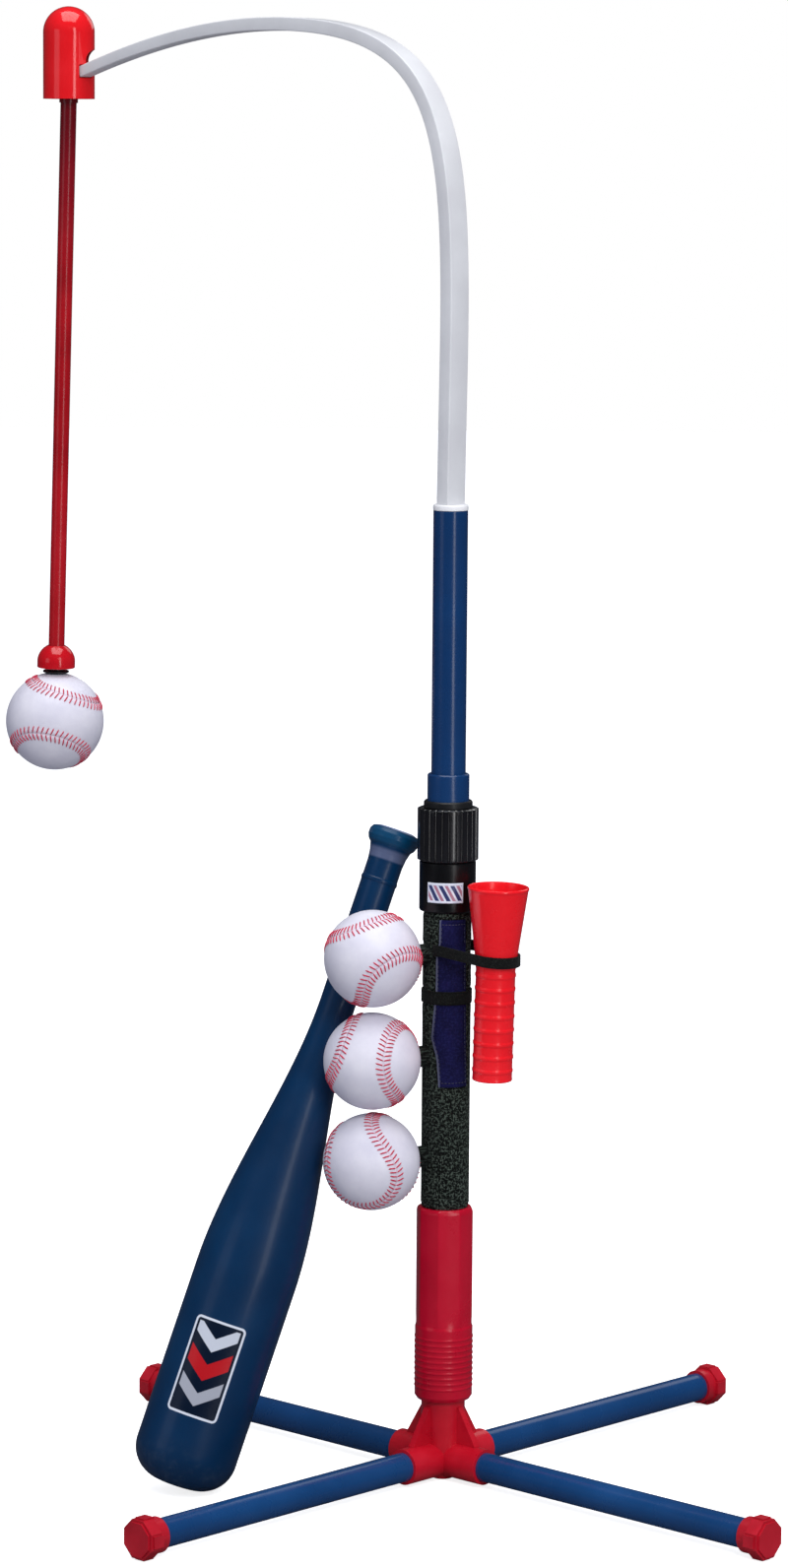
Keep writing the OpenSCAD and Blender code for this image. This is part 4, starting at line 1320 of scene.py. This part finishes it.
def pocket_azimuth(u, z):
    left = edge_azimuth(LEFT_EDGE, z)
    return left + (edge_azimuth(RIGHT_EDGE, z) - left) * u


def build_pocket(cols=60, rows=180):
    outer, inner = np.zeros((rows, cols, 3)), np.zeros((rows, cols, 3))
    hem = np.zeros((2, rows, cols), np.float32)
    for j in range(rows):
        z = POCKET_Z0 + POCKET_H * (j / (rows - 1))
        for i in range(cols):
            u = i / (cols - 1)
            a = pocket_azimuth(u, z)
            outer[j, i] = polar(pocket_radius(u, z), a, z)
            inner[j, i] = polar(18.02, a, z)
            # the left hem's paler strip
            hem[:, j, i] = min(1.0, max(0.0, (1.9 - u * POCKET_W) / 0.5))
    pocket = grid_solid("pocket_panel", outer, inner, POCKET_KNIT)
    data = pocket.data.attributes.new("hem", "FLOAT", "POINT").data
    data.foreach_set("value", hem.reshape(-1))
    place(pocket, "base", "cover_pocket")


def pocket_stitch(u0, z0, u1, z1):
    start, end = ((pocket_radius(u, z) + 0.02, pocket_azimuth(u, z), z)
                  for u, z in ((u0, z0), (u1, z1)))
    return post_stitch(start, end, radius=0.27, bow=0.16, azimuth=start[1])


def build_pocket_stitches():
    """Rows along all four edges; the upright ones stop under the straps."""
    stitches = []
    for u in (0.085, 0.915):
        z = 308.0
        while z < 426:
            if not in_bands(z + 1, ((365, 379), (398, 413))):
                stitches.append(pocket_stitch(u, z, u, z + 2.2))
            z += 3.2
    for z in (307.4, 427.6):
        u = 0.1
        while u < 0.88:
            stitches.append(pocket_stitch(u, z, u + 0.075, z))
            u += 0.11
    place(join("pocket_stitches", stitches, NAVY_THREAD), "base")


build_pocket()
build_pocket_stitches()


# ------------------------------------------------------------------ straps
def strap(name, plan, z_range, thickness, material, closed=False):
    """Flat webbing along plan, its centre line as (x, y) points."""
    z0, z1 = z_range
    path = [Vector((x, y, (z0 + z1) / 2)) for x, y in plan]
    height, half = z1 - z0, thickness / 2
    # half of the section: a rippled flat side, then a round edge
    side = []
    for k in range(11):
        up = -height / 2 + half + (height - thickness) * k / 10
        side.append((up, -half * (0.92 + 0.08 * cos(2 * pi * k / 10 * 3))))
    for k in range(1, 5):
        a = pi * k / 5
        side.append((height / 2 - half + half * sin(a), -half * cos(a)))
    section = side + [(-w, -t) for w, t in side]
    return sweep(name, path, [section] * len(path), Vector((0, 0, 1)), material, closed)


def arc(cx, r, start, end, steps):
    angles = [start + (end - start) * k / steps for k in range(steps + 1)]
    return [(cx + r * cos(a), r * sin(a)) for a in angles]


def build_cup_strap():
    """From the pocket's left edge round the cup and back to the cover's +Y side."""
    post_r, cup_r, cup_x = 20.2, 17.6, 49.9
    # azimuth where a straight run touches both circles
    touch = acos((post_r - cup_r) / cup_x)
    front = [(4.4, -19.62), (6.5, -20.02), (9.0, -20.25)]
    run = []
    for k in range(10):
        x = 12 + (cup_x + cup_r * cos(touch) - 12) * k / 10
        run.append((x, -(post_r / sin(touch) - (1 / tan(touch)) * x)))
    run_back = [(x, -y) for x, y in reversed(run)]
    back = [(9.0, 20.0), (6.2, 19.5), (3.0, 19.15), (0.0, 18.95)]
    plan = front + run + arc(cup_x, cup_r, -touch, touch, 40) + run_back + back
    plan += arc(0, 18.95, radians(94), radians(112), 5)
    web = strap("cup_strap_web", plan, CUP_STRAP_Z, 1.4, CUP_ELASTIC)
    for vertex in web.data.vertices:
        along = min(1, max(0, (vertex.co.x - 0.012) / 0.056))
        vertex.co.z += (CUP_STRAP_RISE - CUP_STRAP_FALL * along) * MM
    web.data.update()
    place(web, "base", "cup_strap")


def build_lower_strap(steps=144):
    """A ring round the cover that stands out where it passes over the pocket."""
    plan = []
    for k in range(steps):
        a = 2 * pi * k / steps
        signed = (a + pi) % (2 * pi) - pi
        past_pocket = max(radians(-75) - signed, signed - radians(17))
        r = 18.55 + 1.3 * smooth(1 - past_pocket / radians(12))
        plan.append((r * cos(a), r * sin(a)))
    web = strap("lower_strap_web", plan, LOWER_STRAP_Z, 1.2, LOWER_ELASTIC, closed=True)
    place(web, "base", "lower_strap")


def stitch_row(start, end, z, r, count):
    """A level row of stitches between two azimuths in degrees."""
    start, end = radians(start), radians(end)
    row = []
    for k in range(count):
        a0 = start + (end - start) * k / count
        a1 = start + (end - start) * (k + 0.68) / count
        row.append(post_stitch((r, a0, z), (r, a1, z), radius=0.3, bow=0.15,
                               azimuth=(a0 + a1) / 2))
    return row


def build_strap_stitches():
    """A box of stitches on the cup strap's +Y end, and two rows on the lower strap."""
    box_start, box_end, box_r = 95, 111, 19.75
    stitches = []
    for z in (405.3, 410.9):
        stitches += stitch_row(box_start, box_end, z, box_r, 3)
    for z in (368.4, 375.3):
        stitches += stitch_row(128, 158, z, 19.2, 5)
    for a in (radians(box_start), radians(box_end)):
        for k in range(4):
            z = 405.5 + k * 1.42
            stitches.append(post_stitch((box_r, a, z), (box_r, a, z + 1.0), radius=0.3,
                                        bow=0.15, azimuth=a))
    place(join("strap_stitches", stitches, NAVY_THREAD), "base")


build_cup_strap()
build_lower_strap()
build_strap_stitches()


# ------------------------------------------------------------------ world and floor
def build_world():
    """White to the camera, dim to mirrored rays, and soft blue light for the rest."""
    world = bpy.data.worlds.new("studio")
    scene.world = world
    world.use_nodes = True
    tree = world.node_tree
    tree.nodes.clear()
    output = tree.nodes.new("ShaderNodeOutputWorld")
    camera_mix = tree.nodes.new("ShaderNodeMixShader")
    rays = tree.nodes.new("ShaderNodeLightPath")

    def background(color, strength):
        node = tree.nodes.new("ShaderNodeBackground")
        node.inputs[0].default_value = color
        node.inputs[1].default_value = strength
        return node.outputs[0]

    ambient = background((0.80, 0.85, 1.0, 1), strength=0.44)
    backdrop = background((1, 1, 1, 1), strength=1.0)
    mirrored = background((0.85, 0.9, 1.0, 1), strength=0.05)
    glossy_mix = tree.nodes.new("ShaderNodeMixShader")
    for source, target in (
            (rays.outputs["Is Glossy Ray"], glossy_mix.inputs[0]),
            (ambient, glossy_mix.inputs[1]),
            (mirrored, glossy_mix.inputs[2]),
            (rays.outputs["Is Camera Ray"], camera_mix.inputs[0]),
            (glossy_mix.outputs[0], camera_mix.inputs[1]),
            (backdrop, camera_mix.inputs[2]),
            (camera_mix.outputs[0], output.inputs[0])):
        tree.links.new(source, target)


def floor_paper():
    """White paper to the camera, dimmer for bounced and mirrored light."""
    m = Material("floor_paper")
    drift = m.noise(scale=3.0, detail=4, rough=0.6)
    rays = m.new("ShaderNodeLightPath")
    bounced = m.ramp(drift, (0.3, (0.34, 0.34, 0.36, 1)), (0.7, (0.36, 0.36, 0.38, 1)))
    unseen = m.mix(rays.outputs["Is Glossy Ray"], bounced, (0.07, 0.07, 0.08, 1))
    tone = m.mix(rays.outputs["Is Camera Ray"], unseen, (0.9, 0.9, 0.9, 1))
    m.set(color=tone, rough=0.9, spec=0.0)
    m.bump(m.noise(scale=300, rough=0.6), strength=0.1, distance=0.0002)
    glow = m.new("ShaderNodeEmission")
    white = m.ramp(drift, (0.3, (0.99, 0.99, 0.99, 1)), (0.7, (1, 1, 1, 1)))
    m.put(glow.inputs["Color"], white)
    m.put(glow.inputs["Strength"], m.mul(rays.outputs["Is Camera Ray"], 0.80))
    both = m.new("ShaderNodeAddShader")
    m.link(m.shader.outputs[0], both.inputs[0])
    m.link(glow.outputs[0], both.inputs[1])
    m.link(both.outputs[0], m.output.inputs[0])
    return m


build_world()
paper = floor_paper()
bpy.ops.mesh.primitive_circle_add(vertices=96, radius=14, fill_type="NGON",
                                  location=(0, 0, -0.0005))
floor = bpy.context.object
floor.name = "floor"
floor.data.materials.append(paper.data)

# ------------------------------------------------------------------ lights, in metres and watts
CAMERA_TURN = radians(42.841)  # of the camera about z, from the front
TOWARD_CAMERA = Vector((sin(CAMERA_TURN), -cos(CAMERA_TURN), 0))
CAMERA_RIGHT = Vector((cos(CAMERA_TURN), sin(CAMERA_TURN), 0))


def area_light(name, toward, right, height, target, size, power, color=(1, 1, 1), size_y=None):
    """An area light placed in the camera's directions from the post, aimed at target."""
    data = bpy.data.lights.new(name, "AREA")
    data.energy = power
    data.color = color
    data.size = size
    if size_y:
        data.shape = "RECTANGLE"
        data.size_y = size_y
    light = bpy.data.objects.new(name, data)
    scene.collection.objects.link(light)
    light.location = TOWARD_CAMERA * toward + CAMERA_RIGHT * right + Vector((0, 0, height))
    aim = Vector(target) - light.location
    light.rotation_euler = aim.to_track_quat("-Z", "Y").to_euler()
    return light


key = area_light("key", toward=2.75, right=0.55, height=2.3, target=(0, 0, 0.5), size=1.2,
                 power=42, color=(1, 0.99, 0.98))
key.visible_glossy = False  # no mirror image of its own
area_light("top", toward=0.5, right=0, height=4.2, target=(0, 0, 0.5), size=3.4, power=110)
area_light("strip", toward=2.1, right=1.06, height=1.02, target=(-0.1, 0, 0.9), size=0.5,
           power=10.5, size_y=2.0)
area_light("fill", toward=1.4, right=-2.4, height=1.0, target=(0, 0, 0.5), size=1.2, power=3,
           color=(0.9, 0.92, 1.0))
area_light("rim", toward=-2.0, right=0.9, height=1.8, target=(0, 0, 0.6), size=1.0, power=3)


# ------------------------------------------------------------------ camera
def build_camera():
    distance, height = 3.650, 1.0028  # metres
    heading = CAMERA_TURN + radians(0.638)
    pitch, roll = radians(7.366), radians(0.413)  # pitch is downwards
    eye = Vector((distance * sin(CAMERA_TURN), -distance * cos(CAMERA_TURN), height))
    forward = Vector((-sin(heading) * cos(pitch), cos(heading) * cos(pitch), -sin(pitch)))
    level = Vector((cos(heading), sin(heading), 0))
    upright = level.cross(forward)
    right = cos(roll) * level + sin(roll) * upright
    up = -sin(roll) * level + cos(roll) * upright
    data = bpy.data.cameras.new("camera")
    data.sensor_width = 36
    data.lens = 113.065327
    data.clip_start, data.clip_end = 0.05, 60
    camera = bpy.data.objects.new("camera", data)
    scene.collection.objects.link(camera)
    rows = [(right[i], up[i], -forward[i], eye[i]) for i in range(3)]
    camera.matrix_world = Matrix((*rows, (0, 0, 0, 1)))
    scene.camera = camera


build_camera()
try:
    scene.view_settings.view_transform = "Standard"
    scene.view_settings.look = "None"
except TypeError:
    # a colour configuration without these names keeps its own view
    pass
